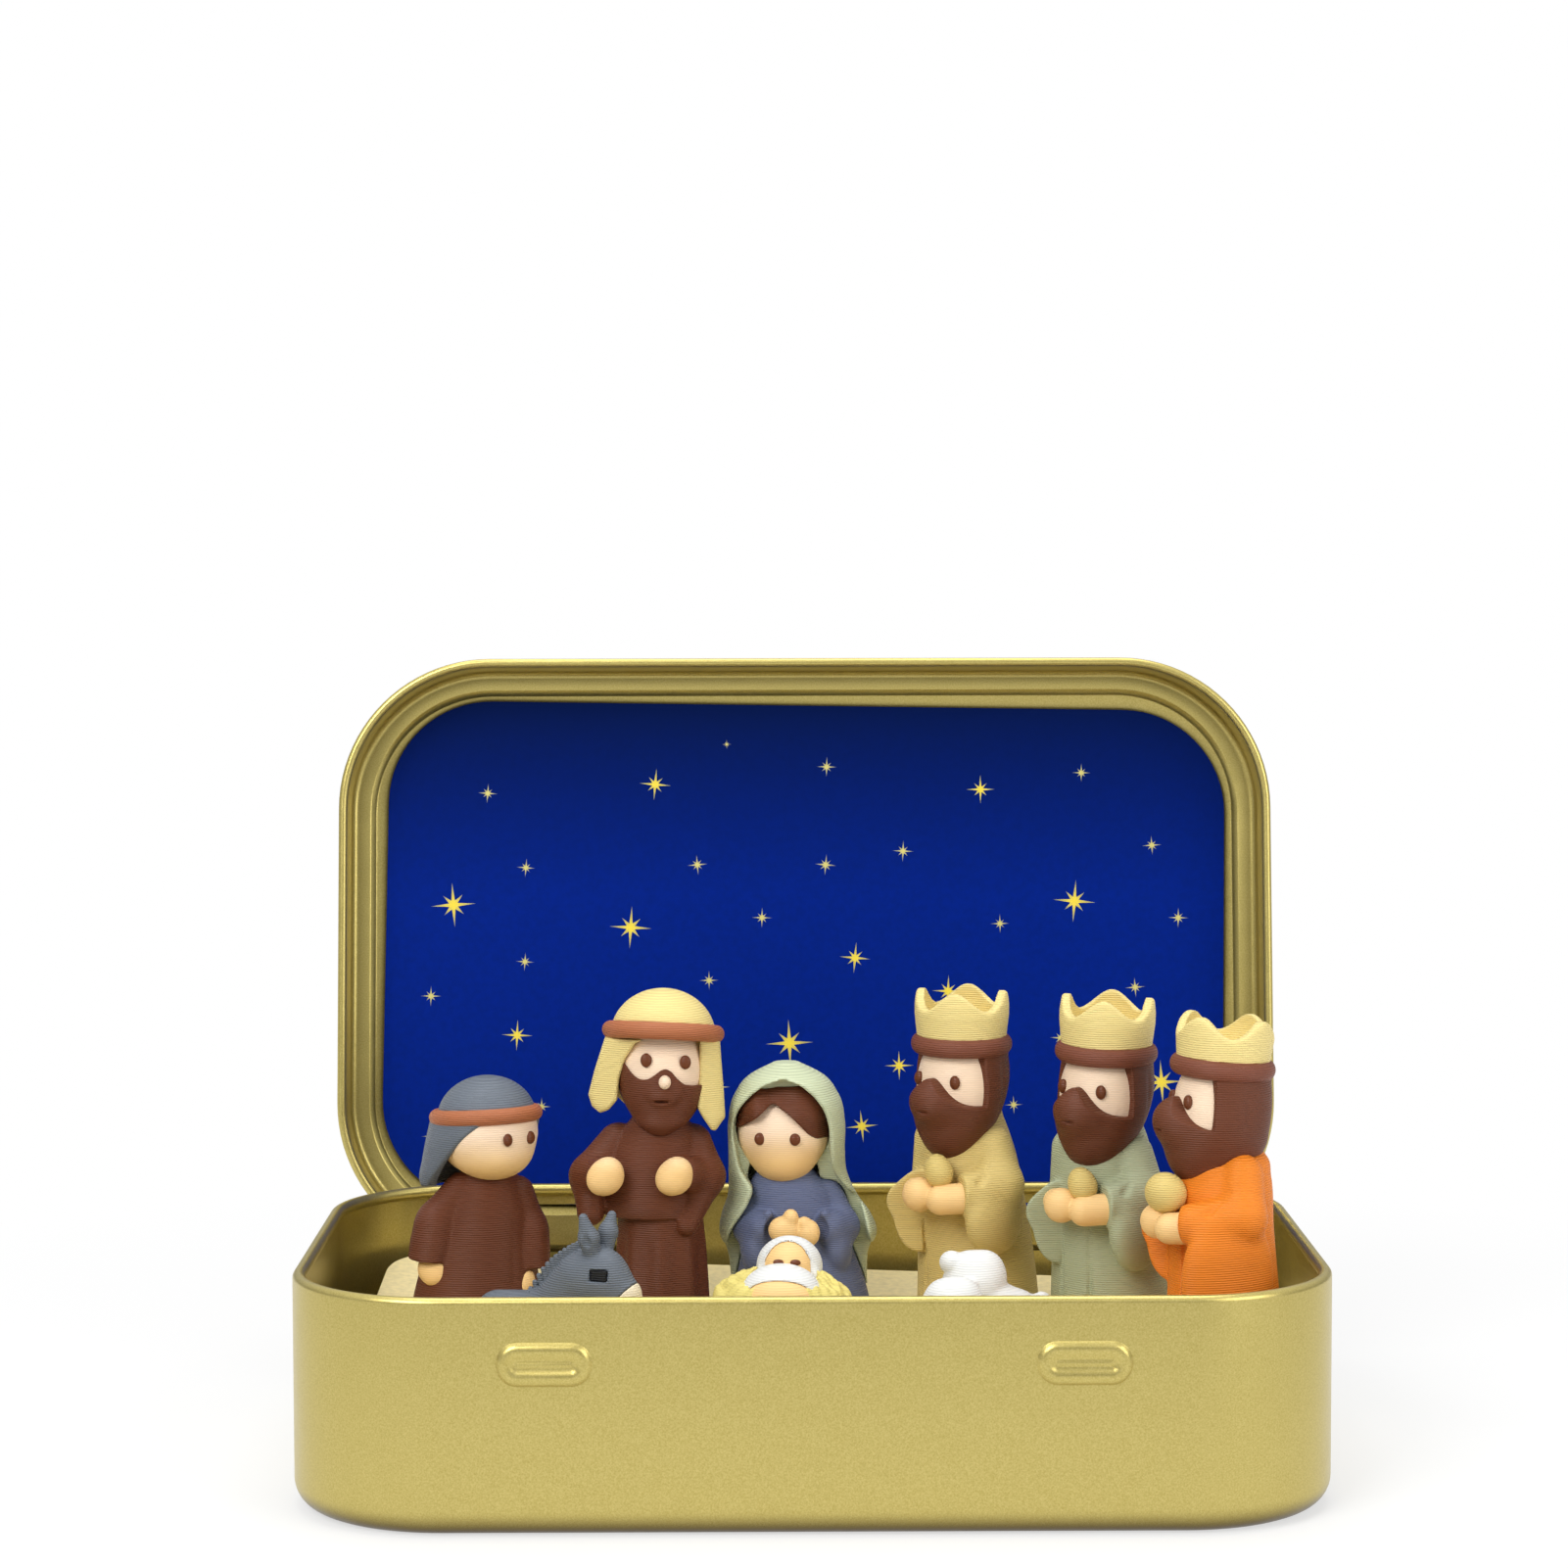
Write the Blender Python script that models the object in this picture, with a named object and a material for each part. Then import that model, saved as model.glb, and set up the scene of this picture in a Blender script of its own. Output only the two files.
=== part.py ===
"""Pocket nativity tin: a hinged pocket tin with a star card in its lid and loose figures on a card stage.

Metres, +Z up. The origin is the centre of the tin's underside, +X runs along the tin's length to the
right, and the front of the tin faces -Y. The lid is modelled closed about its hinge line and then turned
open. Each figure is modelled about its own stand point, facing -Y, and its empty places and turns it.
"""

import math

import bmesh
import bpy
from mathutils import Matrix, Vector

MM = 0.001

# Clearances
PRINT_GAP = 0.22 * MM  # between two colours of one figure
STAND_GAP = 0.2 * MM  # under whatever stands on a card
CARD_GAP = 0.3 * MM  # between a card and the sheet metal beside it
HEM = 1.0 * MM  # robes reach this far below the point that their figure is modelled about

# Tin base
TIN_LENGTH = 95.0 * MM
TIN_DEPTH = 59.6 * MM
TIN_HEIGHT = 21.5 * MM
TIN_CORNER = 14.5 * MM
SHEET = 0.45 * MM
FOOT_RADIUS = 2.6 * MM
RIM_RADIUS = 0.6 * MM
CORNER_STEPS = 5

# Front catches, pressed outwards
CATCH_SPACING = 47.6 * MM
CATCH_LENGTH = 8.1 * MM
CATCH_HEIGHT = 3.6 * MM
CATCH_PROUD = 0.25 * MM
CATCH_Z = 15.6 * MM

# Hinge: windows in the base, bent tabs on the lid
HINGE_SPACING = 47.0 * MM
WINDOW_LENGTH = 13.0 * MM
TAB_LENGTH = 11.6 * MM
TAB_SHEET = 0.35 * MM
TAB_REACH = 2.6 * MM
TAB_CORNER = 1.2 * MM
PIVOT_BELOW_RIM = 6.05 * MM
WINDOW_BELOW_RIM = 2.2 * MM
WINDOW_CLEARANCE = 0.25 * MM
OPEN_ANGLE = math.radians(98.0)

# Tin lid
LID_SHEET = 0.3 * MM
LID_SIDE_CLEARANCE = 0.25 * MM
LID_TOP_CLEARANCE = 0.1 * MM
LID_SKIRT = 6.0 * MM
LID_CURL_RADIUS = 0.45 * MM
LID_SHOULDER = 1.0 * MM
PANEL_INSET = 3.1 * MM
PANEL_RAISE = 0.8 * MM
PANEL_SLOPE = 0.5 * MM

# Cards
STAR_CARD_END_CLEARANCE = 1.15 * MM
STAR_CARD_SIDE_CLEARANCE = 0.75 * MM
STAR_CARD_CORNER = 10.5 * MM
STAR_CARD_SHEET = 0.4 * MM
STAR_CARD_SKEW = math.radians(0.9)
STAGE_END_CLEARANCE = 3.55 * MM
STAGE_SIDE_CLEARANCE = 3.35 * MM
STAGE_CORNER = 6.0 * MM
STAGE_SHEET = 0.5 * MM
STAGE_BELOW_RIM = 9.5 * MM
STAGE_SHIFT = (1.0 * MM, -0.5 * MM)
FLAP_LENGTH = 30.0 * MM

# Figure parts that more than one figure shares
PEG_RADIUS = 2.2 * MM
PEG_HEIGHT = 1.5 * MM
FIGURE_STEPS = 12
LIMB_STEPS = 7
LIMB_PHASE = 0.3  # keeps the corners of a limb off the corners of a body

# Where each piece stands on the stage, and how far it is turned from facing the front
PLACES = {
    "shepherd": (-30.8 * MM, 2.0 * MM, math.radians(27.0)),
    "father": (-14.5 * MM, 3.4 * MM, 0.0),
    "mother": (-1.3 * MM, 6.2 * MM, 0.0),
    "tan_king": (14.55 * MM, 5.0 * MM, math.radians(-38.0)),
    "green_king": (27.55 * MM, -1.0 * MM, math.radians(-36.0)),
    "orange_king": (37.55 * MM, -11.6 * MM, math.radians(-60.0)),
    "donkey": (-25.2 * MM, -10.4 * MM, math.radians(-22.0)),
    "manger": (-2.6 * MM, -10.4 * MM, 0.0),
    "baby": (-2.6 * MM, -10.4 * MM, math.radians(-6.0)),
    "left_sheep": (14.5 * MM, -16.3 * MM, math.radians(10.0)),
    "right_sheep": (17.1 * MM, -8.0 * MM, math.radians(4.0)),
}

COLOURS = {
    "gold_tin": ((0.56, 0.47, 0.22, 1.0), 0.42, 0.85),
    "star_blue": ((0.003, 0.02, 0.26, 1.0), 0.45, 0.0),
    "cream_card": ((0.86, 0.76, 0.52, 1.0), 0.7, 0.0),
    "brown": ((0.085, 0.028, 0.012, 1.0), 0.5, 0.0),
    "band_brown": ((0.27, 0.1, 0.06, 1.0), 0.5, 0.0),
    "pale_yellow": ((0.8, 0.66, 0.3, 1.0), 0.5, 0.0),
    "skin": ((0.85, 0.6, 0.4, 1.0), 0.5, 0.0),
    "slate": ((0.075, 0.09, 0.11, 1.0), 0.5, 0.0),
    "slate_blue": ((0.08, 0.09, 0.16, 1.0), 0.5, 0.0),
    "sage": ((0.5, 0.52, 0.4, 1.0), 0.5, 0.0),
    "tan": ((0.56, 0.42, 0.17, 1.0), 0.5, 0.0),
    "pale_green": ((0.4, 0.44, 0.31, 1.0), 0.5, 0.0),
    "orange": ((0.82, 0.23, 0.02, 1.0), 0.5, 0.0),
    "dull_gold": ((0.6, 0.45, 0.16, 1.0), 0.5, 0.0),
    "hay": ((0.83, 0.68, 0.3, 1.0), 0.6, 0.0),
    "white": ((0.86, 0.85, 0.82, 1.0), 0.5, 0.0),
    "cream": ((0.85, 0.78, 0.6, 1.0), 0.5, 0.0),
}

PIVOT = Vector((0.0, TIN_DEPTH / 2 - SHEET / 2, TIN_HEIGHT - PIVOT_BELOW_RIM))
STAGE_TOP = TIN_HEIGHT - STAGE_BELOW_RIM
LID_REACH = LID_SIDE_CLEARANCE + 2 * LID_CURL_RADIUS  # from the base's wall to the curl's outside
PANEL_INNER_INSET = PANEL_INSET + PANEL_SLOPE + LID_SHEET - LID_REACH  # from the base's wall to the panel's inside
STAR_CARD_LENGTH = TIN_LENGTH - 2 * (PANEL_INNER_INSET + STAR_CARD_END_CLEARANCE)
STAR_CARD_DEPTH = TIN_DEPTH - 2 * (PANEL_INNER_INSET + STAR_CARD_SIDE_CLEARANCE)
STAGE_LENGTH = TIN_LENGTH - 2 * (SHEET + STAGE_END_CLEARANCE)
STAGE_DEPTH = TIN_DEPTH - 2 * (SHEET + STAGE_SIDE_CLEARANCE)


# The scene

def clear_scene():
    for old in list(bpy.data.objects):
        bpy.data.objects.remove(old, do_unlink=True)


def new_collection(name):
    made = bpy.data.collections.new(name)
    bpy.context.scene.collection.children.link(made)
    return made


def material(name):
    found = bpy.data.materials.get(name)
    if found:
        return found
    colour, roughness, metallic = COLOURS[name]
    made = bpy.data.materials.new(name)
    made.use_nodes = True
    shader = made.node_tree.nodes["Principled BSDF"]
    shader.inputs["Base Color"].default_value = colour
    shader.inputs["Roughness"].default_value = roughness
    shader.inputs["Metallic"].default_value = metallic
    made.diffuse_color = colour
    return made


def place(name, made, parent=None, colour=None):
    """Turns a bmesh into an object: a part of the model with a colour, or a hidden helper without one."""
    mesh = bpy.data.meshes.new(name)
    bmesh.ops.recalc_face_normals(made, faces=made.faces)
    made.to_mesh(mesh)
    made.free()
    obj = bpy.data.objects.new(name, mesh)
    if parent:
        obj.parent = parent
    if colour:
        mesh.materials.append(material(colour))
        mesh.shade_smooth()
        mesh.set_sharp_from_angle(angle=math.radians(40.0))
        parts.objects.link(obj)
    else:
        obj.hide_render = True
        obj.display_type = "WIRE"
        helpers.objects.link(obj)
    return obj


def combine(obj, operation, shapes):
    """Adds one Boolean for each helper shape, given in the space of the object itself."""
    for made in shapes:
        helper = place(f"{obj.name}_{operation.lower()}", made, obj)
        modifier = obj.modifiers.new(operation.lower(), "BOOLEAN")
        modifier.operation = operation
        modifier.object = helper
    return obj


def join(obj, *shapes):
    return combine(obj, "UNION", shapes)


def cut(obj, *shapes):
    return combine(obj, "DIFFERENCE", shapes)


# Shapes

def loft(rings):
    """A closed solid through rings of equal count, with a flat face on the first and last."""
    made = bmesh.new()
    rows = [[made.verts.new(point) for point in ring] for ring in rings]
    count = len(rows[0])
    for low, high in zip(rows, rows[1:]):
        for i in range(count):
            j = (i + 1) % count
            made.faces.new((low[i], low[j], high[j], high[i]))
    made.faces.new(list(reversed(rows[0])))
    made.faces.new(rows[-1])
    return made


def rounded_outline(length, depth, radius, steps=CORNER_STEPS):
    """Points round a rectangle with round corners, counter-clockwise from above."""
    points = []
    for corner in range(4):
        side_x = 1 if corner in (0, 3) else -1
        side_y = 1 if corner in (0, 1) else -1
        for step in range(steps + 1):
            angle = math.radians(90.0) * (corner + step / steps)
            points.append((
                side_x * (length / 2 - radius) + radius * math.cos(angle),
                side_y * (depth / 2 - radius) + radius * math.sin(angle),
            ))
    return points


def pressed_sheet(length, depth, radius, profile):
    """A solid whose section is the profile of (inset, height), carried round a rounded rectangle."""
    rings = []
    for inset, height in profile:
        outline = rounded_outline(length - 2 * inset, depth - 2 * inset, max(radius - inset, 0.5 * MM))
        rings.append([(x, y, height) for x, y in outline])
    return loft(rings)


def arc(centre, radius, start, end, steps):
    """(inset, height) points on a circle, between two angles in degrees."""
    points = []
    for step in range(steps + 1):
        angle = math.radians(start + (end - start) * step / steps)
        points.append((centre[0] + radius * math.cos(angle), centre[1] + radius * math.sin(angle)))
    return points


def plate(length, depth, radius, low, high, centre=(0.0, 0.0), turn=0.0, steps=CORNER_STEPS):
    """A flat plate with round corners between two heights."""
    c, s = math.cos(turn), math.sin(turn)
    outline = [
        (centre[0] + c * x - s * y, centre[1] + s * x + c * y)
        for x, y in rounded_outline(length, depth, radius, steps)
    ]
    return loft([[(x, y, z) for x, y in outline] for z in (low, high)])


def block(low, high):
    made = bmesh.new()
    bmesh.ops.create_cube(made, size=1.0)
    for vert in made.verts:
        vert.co = Vector([a + (b - a) * (c + 0.5) for a, b, c in zip(low, high, vert.co)])
    return made


def turned_block(low, high, pivot, tilt, swing=0.0):
    """A block tilted about the X axis through a pivot and then swung about Z, by angles in degrees."""
    made = block(low, high)
    c, s = math.cos(math.radians(tilt)), math.sin(math.radians(tilt))
    for vert in made.verts:
        y, z = vert.co.y - pivot[0], vert.co.z - pivot[1]
        vert.co.y, vert.co.z = pivot[0] + c * y - s * z, pivot[1] + s * y + c * z
    bmesh.ops.rotate(made, verts=made.verts, matrix=Matrix.Rotation(math.radians(swing), 3, "Z"))
    return made


def stack(rings, grow=0.0, steps=FIGURE_STEPS):
    """Ellipses on top of each other, each (height, half width, half depth, y, x), in millimetres."""
    made = []
    last = len(rings) - 1
    for index, ring in enumerate(rings):
        height, half_width, half_depth, *shift = ring
        y = shift[0] if shift else 0.0
        x = shift[1] if len(shift) > 1 else 0.0
        level = height * MM + (grow if index == last else 0.0) - (grow if index == 0 else 0.0)
        made.append([
            (
                x * MM + (half_width * MM + grow) * math.cos(2 * math.pi * k / steps),
                y * MM + (half_depth * MM + grow) * math.sin(2 * math.pi * k / steps),
                level,
            )
            for k in range(steps)
        ])
    return loft(made)


def ball(centre, radii, grow=0.0, segments=9, rings=6):
    """A UV sphere stretched to three radii, in millimetres."""
    made = bmesh.new()
    bmesh.ops.create_uvsphere(made, u_segments=segments, v_segments=rings, radius=1.0)
    for vert in made.verts:
        vert.co = Vector([c * MM + (r * MM + grow) * v for c, r, v in zip(centre, radii, vert.co)])
    return made


def limb(points, radii, grow=0.0, steps=LIMB_STEPS):
    """A round-ended tube of changing radius through points, in millimetres."""
    path = [Vector(point) * MM for point in points]
    thick = [radius * MM + grow for radius in radii]
    first, last = (path[1] - path[0]).normalized(), (path[-1] - path[-2]).normalized()
    stations = [(path[0] - first * thick[0] * 0.8, thick[0] * 0.55, first)]
    for index, point in enumerate(path):
        before = path[max(index - 1, 0)]
        after = path[min(index + 1, len(path) - 1)]
        stations.append((point, thick[index], (after - before).normalized()))
    stations.append((path[-1] + last * thick[-1] * 0.8, thick[-1] * 0.55, last))
    side = Vector((0.0, 1.0, 0.0)) if abs(first.y) < 0.9 else Vector((1.0, 0.0, 0.0))
    rings = []
    for point, radius, along in stations:
        across = along.cross(side).normalized()
        up = along.cross(across).normalized()
        rings.append([
            point + (across * math.cos(angle) + up * math.sin(angle)) * radius
            for angle in (2 * math.pi * (k + LIMB_PHASE) / steps for k in range(steps))
        ])
    return loft(rings)


def ring_band(height, major, minor, y=0.0, x=0.0, grow=0.0):
    """A round headband: a torus lying flat, in millimetres."""
    bpy.ops.mesh.primitive_torus_add(
        major_segments=14,
        minor_segments=6,
        major_radius=major * MM,
        minor_radius=minor * MM + grow,
        location=(x * MM, y * MM, height * MM),
    )
    source = bpy.context.active_object
    made = bmesh.new()
    made.from_mesh(source.data)
    bmesh.ops.translate(made, vec=source.location, verts=made.verts)
    bpy.data.objects.remove(source, do_unlink=True)
    return made


def mirrored(points):
    return [(-x, y, z) for x, y, z in points]


# Tin

def hinge_centres():
    return (-HINGE_SPACING / 2, HINGE_SPACING / 2)


def tin_base():
    """The drawn pan: foot radius, straight wall, rim rolled inwards, and the inside of the same sheet."""
    foot = arc((FOOT_RADIUS, FOOT_RADIUS), FOOT_RADIUS, 270.0, 180.0, 4)
    rim = arc((RIM_RADIUS, TIN_HEIGHT - RIM_RADIUS), RIM_RADIUS, 180.0, -90.0, 8)
    under_rim = [(SHEET, TIN_HEIGHT - 2 * RIM_RADIUS - 0.1 * MM)]
    inner_radius = FOOT_RADIUS - SHEET
    inside = arc((FOOT_RADIUS, FOOT_RADIUS), inner_radius, 180.0, 270.0, 3)
    profile = foot + rim + under_rim + inside
    base = place("tin_base", pressed_sheet(TIN_LENGTH, TIN_DEPTH, TIN_CORNER, profile), None, "gold_tin")
    front = -TIN_DEPTH / 2
    for centre in (-CATCH_SPACING / 2, CATCH_SPACING / 2):
        catch = plate(CATCH_LENGTH, CATCH_HEIGHT, CATCH_HEIGHT / 2 - 0.1 * MM, 0.0, CATCH_PROUD + SHEET / 2, steps=4)
        for vert in catch.verts:
            x, y, z = vert.co
            vert.co = (centre + x, front + SHEET / 2 - z, CATCH_Z + y)
        join(base, catch)
    corner_reach = math.hypot(SHEET / 2 + LID_SIDE_CLEARANCE + TAB_SHEET, TAB_SHEET)
    window_low = PIVOT.z - corner_reach - WINDOW_CLEARANCE
    window_high = TIN_HEIGHT - WINDOW_BELOW_RIM
    for centre in hinge_centres():
        cut(base, block(
            (centre - WINDOW_LENGTH / 2, TIN_DEPTH / 2 - 2 * SHEET, window_low),
            (centre + WINDOW_LENGTH / 2, TIN_DEPTH / 2 + SHEET, window_high),
        ))
    return base


def tin_lid():
    """The drawn lid, closed: raised panel, shoulder, skirt, curl rolled outwards, and the inside again."""
    length, depth = TIN_LENGTH + 2 * LID_REACH, TIN_DEPTH + 2 * LID_REACH
    inner = 2 * LID_CURL_RADIUS  # inset of the skirt's inner face
    outer = inner - LID_SHEET
    ceiling = TIN_HEIGHT + LID_TOP_CLEARANCE
    top = ceiling + LID_SHEET
    skirt_end = top - LID_SKIRT
    panel_edge = PANEL_INSET + PANEL_SLOPE
    outside = [
        (panel_edge, top + PANEL_RAISE),
        (PANEL_INSET, top),
    ] + arc((outer + LID_SHOULDER, top - LID_SHOULDER), LID_SHOULDER, 90.0, 180.0, 3)
    curl_centre = (LID_CURL_RADIUS, skirt_end + LID_CURL_RADIUS)
    curl = arc(curl_centre, LID_CURL_RADIUS, 60.0, 360.0, 8)
    curl[0] = (outer, curl[0][1])
    inner_shoulder = LID_SHOULDER - LID_SHEET
    inside = arc((inner + inner_shoulder, ceiling - inner_shoulder), inner_shoulder, 180.0, 90.0, 3) + [
        (PANEL_INSET + LID_SHEET, ceiling),
        (panel_edge + LID_SHEET, ceiling + PANEL_RAISE),
    ]
    made = pressed_sheet(length, depth, TIN_CORNER + LID_REACH, outside + curl + inside)
    bmesh.ops.translate(made, vec=-PIVOT, verts=made.verts)
    lid = place("tin_lid", made, None, "gold_tin")
    skirt_y = SHEET / 2 + LID_SIDE_CLEARANCE  # from the pivot back to the skirt's inner face
    for centre in hinge_centres():
        leg = block(
            (centre - TAB_LENGTH / 2, skirt_y + 0.04 * MM, -TAB_SHEET / 2),
            (centre + TAB_LENGTH / 2, skirt_y + TAB_SHEET + 0.04 * MM, skirt_end - PIVOT.z + LID_CURL_RADIUS),
        )
        reach_depth = TAB_REACH + skirt_y + TAB_SHEET
        tongue = plate(
            TAB_LENGTH - 0.08 * MM,
            reach_depth,
            TAB_CORNER,
            -TAB_SHEET / 2 + 0.02 * MM,
            TAB_SHEET / 2 - 0.02 * MM,
            centre=(centre, skirt_y + TAB_SHEET - reach_depth / 2),
            steps=4,
        )
        root = block(
            (centre - TAB_LENGTH / 2 + 0.04 * MM, -TAB_SHEET / 2, -TAB_SHEET / 2 + 0.02 * MM),
            (centre + TAB_LENGTH / 2 - 0.04 * MM, skirt_y + TAB_SHEET, TAB_SHEET / 2 - 0.02 * MM),
        )
        join(lid, leg, tongue, root)
    lid.location = PIVOT
    lid.rotation_euler = (-OPEN_ANGLE, 0.0, 0.0)
    return lid


def star_card(lid):
    """The printed card in the lid's raised panel, lying a little askew."""
    under_panel = TIN_HEIGHT + LID_TOP_CLEARANCE + PANEL_RAISE - PIVOT.z
    made = plate(
        STAR_CARD_LENGTH,
        STAR_CARD_DEPTH,
        STAR_CARD_CORNER,
        under_panel - CARD_GAP - STAR_CARD_SHEET,
        under_panel - CARD_GAP,
        centre=(0.0, -PIVOT.y),
        turn=STAR_CARD_SKEW,
    )
    return place("star_card", made, lid, "star_blue")


def stage_card():
    """The platform: a top with round corners and a fold-down flap at each end, standing on the tin's floor."""
    top = plate(STAGE_LENGTH, STAGE_DEPTH, STAGE_CORNER, STAGE_TOP - STAGE_SHEET, STAGE_TOP, STAGE_SHIFT)
    card = place("stage_card", top, None, "cream_card")
    floor = SHEET + CARD_GAP
    for side in (-1, 1):
        outer = STAGE_SHIFT[0] + side * (STAGE_LENGTH / 2 - 0.02 * MM)
        inner = outer - side * STAGE_SHEET
        join(card, block(
            (min(outer, inner), STAGE_SHIFT[1] - FLAP_LENGTH / 2, floor),
            (max(outer, inner), STAGE_SHIFT[1] + FLAP_LENGTH / 2, STAGE_TOP - STAGE_SHEET / 2),
        ))
    return card


# Figures

def stand(name, hem=0.0):
    """The empty that a figure's pieces hang on."""
    empty = bpy.data.objects.new(f"{name}_stand", None)
    x, y, turn = PLACES[name]
    empty.location = (x, y, STAGE_TOP + STAND_GAP + hem)
    empty.rotation_euler = (0.0, 0.0, turn)
    helpers.objects.link(empty)
    return empty


def head_with_peg(rings, grow=0.0):
    """A head whose top is flat under the headband, with a peg up into what is worn above it."""
    height, _, _, *shift = rings[-1]
    peg = PEG_RADIUS / MM
    return stack(rings + [
        (height, peg, peg, *shift),
        (height + PEG_HEIGHT / MM, peg, peg, *shift),
    ], grow)


def worn_above(band_z, band_minor, neck, rings, y=0.0, x=0.0):
    """A scarf crown or crown: a neck that fills the headband, and the rings above it."""
    gap = PRINT_GAP / MM
    return stack([
        (band_z - band_minor, neck, neck, y, x),
        (band_z + band_minor + gap, neck, neck, y, x),
    ] + rings)


def peg_socket(band_z, band_minor, y=0.0, x=0.0):
    radius = (PEG_RADIUS + PRINT_GAP) / MM
    low = band_z - band_minor - 1.0
    high = band_z - band_minor - PRINT_GAP / MM + PEG_HEIGHT / MM + PRINT_GAP / MM
    return stack([(low, radius, radius, y, x), (high, radius, radius, y, x)])


def shepherd():
    """A boy turned to the right, arms at his sides, with a domed scarf that hangs behind."""
    root = stand("shepherd", HEM)
    band_z, band_major, band_minor = 19.65, 4.6, 0.65
    robe_rings = [
        (-HEM / MM, 5.6, 4.7, 2.8, -0.5), (3.0, 5.2, 4.4, 2.7, -0.5), (7.0, 4.8, 4.1, 2.4, -0.5),
        (11.0, 4.3, 3.7, 1.8, -0.4), (13.2, 3.3, 3.0, 0.9, -0.2), (14.4, 2.0, 1.9, 0.3),
    ]
    left_sleeve = [(2.8, 1.8, 12.4), (4.4, 2.0, 9.8), (5.0, 1.7, 7.6)]
    right_sleeve = [(-3.5, 1.8, 12.4), (-5.3, 1.9, 9.8), (-5.9, 1.6, 7.6)]
    sleeve_radii = [1.6, 2.0, 1.7]
    hands = ((5.3, 1.4, 5.3), (-6.2, 1.3, 5.3))
    hand_radii = (1.45, 1.35, 1.45)
    head_rings = [
        (13.6, 1.0, 0.9, -1.1), (14.2, 2.4, 2.2, -1.0), (15.3, 3.7, 3.5, -0.8), (16.6, 4.35, 4.2, -0.6),
        (17.8, 4.4, 4.3, -0.5), (band_z - band_minor - PRINT_GAP / MM, 4.25, 4.15, -0.4),
    ]
    drape_rings = [
        (12.4, 4.4, 3.6, 2.2, -0.4), (13.3, 5.9, 5.0, 1.6, -0.4), (15.4, 5.8, 5.4, 0.9, -0.3),
        (17.6, 5.3, 5.3, 0.2, -0.1), (band_z - band_minor - PRINT_GAP / MM, 4.9, 4.8, 0.0),
    ]

    def drape(grow=0.0):
        return stack(drape_rings, grow)

    front = turned_block(
        (-9 * MM, -12 * MM, 8 * MM), (9 * MM, 0.0, 26 * MM), (0.0, 18.4 * MM), 24.0, 24.0
    )
    robe = place("shepherd_robe", stack(robe_rings), root, "brown")
    join(robe, limb(left_sleeve, sleeve_radii), limb(right_sleeve, sleeve_radii))
    cut(robe, head_with_peg(head_rings, PRINT_GAP), drape(PRINT_GAP))
    place("shepherd_head", head_with_peg(head_rings), root, "skin")
    scarf = place("shepherd_scarf_drape", drape(), root, "slate")
    cut(scarf, head_with_peg(head_rings, PRINT_GAP), front)
    dome = [(20.7, 4.6, 4.5, -0.4), (21.7, 4.35, 4.2, -0.4), (22.7, 3.2, 3.1, -0.4), (23.5, 1.2, 1.2, -0.4)]
    crown = place("shepherd_scarf_crown", worn_above(band_z, band_minor, 3.72, dome, -0.4), root, "slate")
    cut(crown, peg_socket(band_z, band_minor, -0.4))
    place("shepherd_headband", ring_band(band_z, band_major, band_minor, -0.4), root, "band_brown")
    for hand, name in zip(hands, ("shepherd_left_hand", "shepherd_right_hand")):
        place(name, ball(hand, hand_radii), root, "skin")
        cut(robe, ball(hand, hand_radii, PRINT_GAP))


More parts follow.
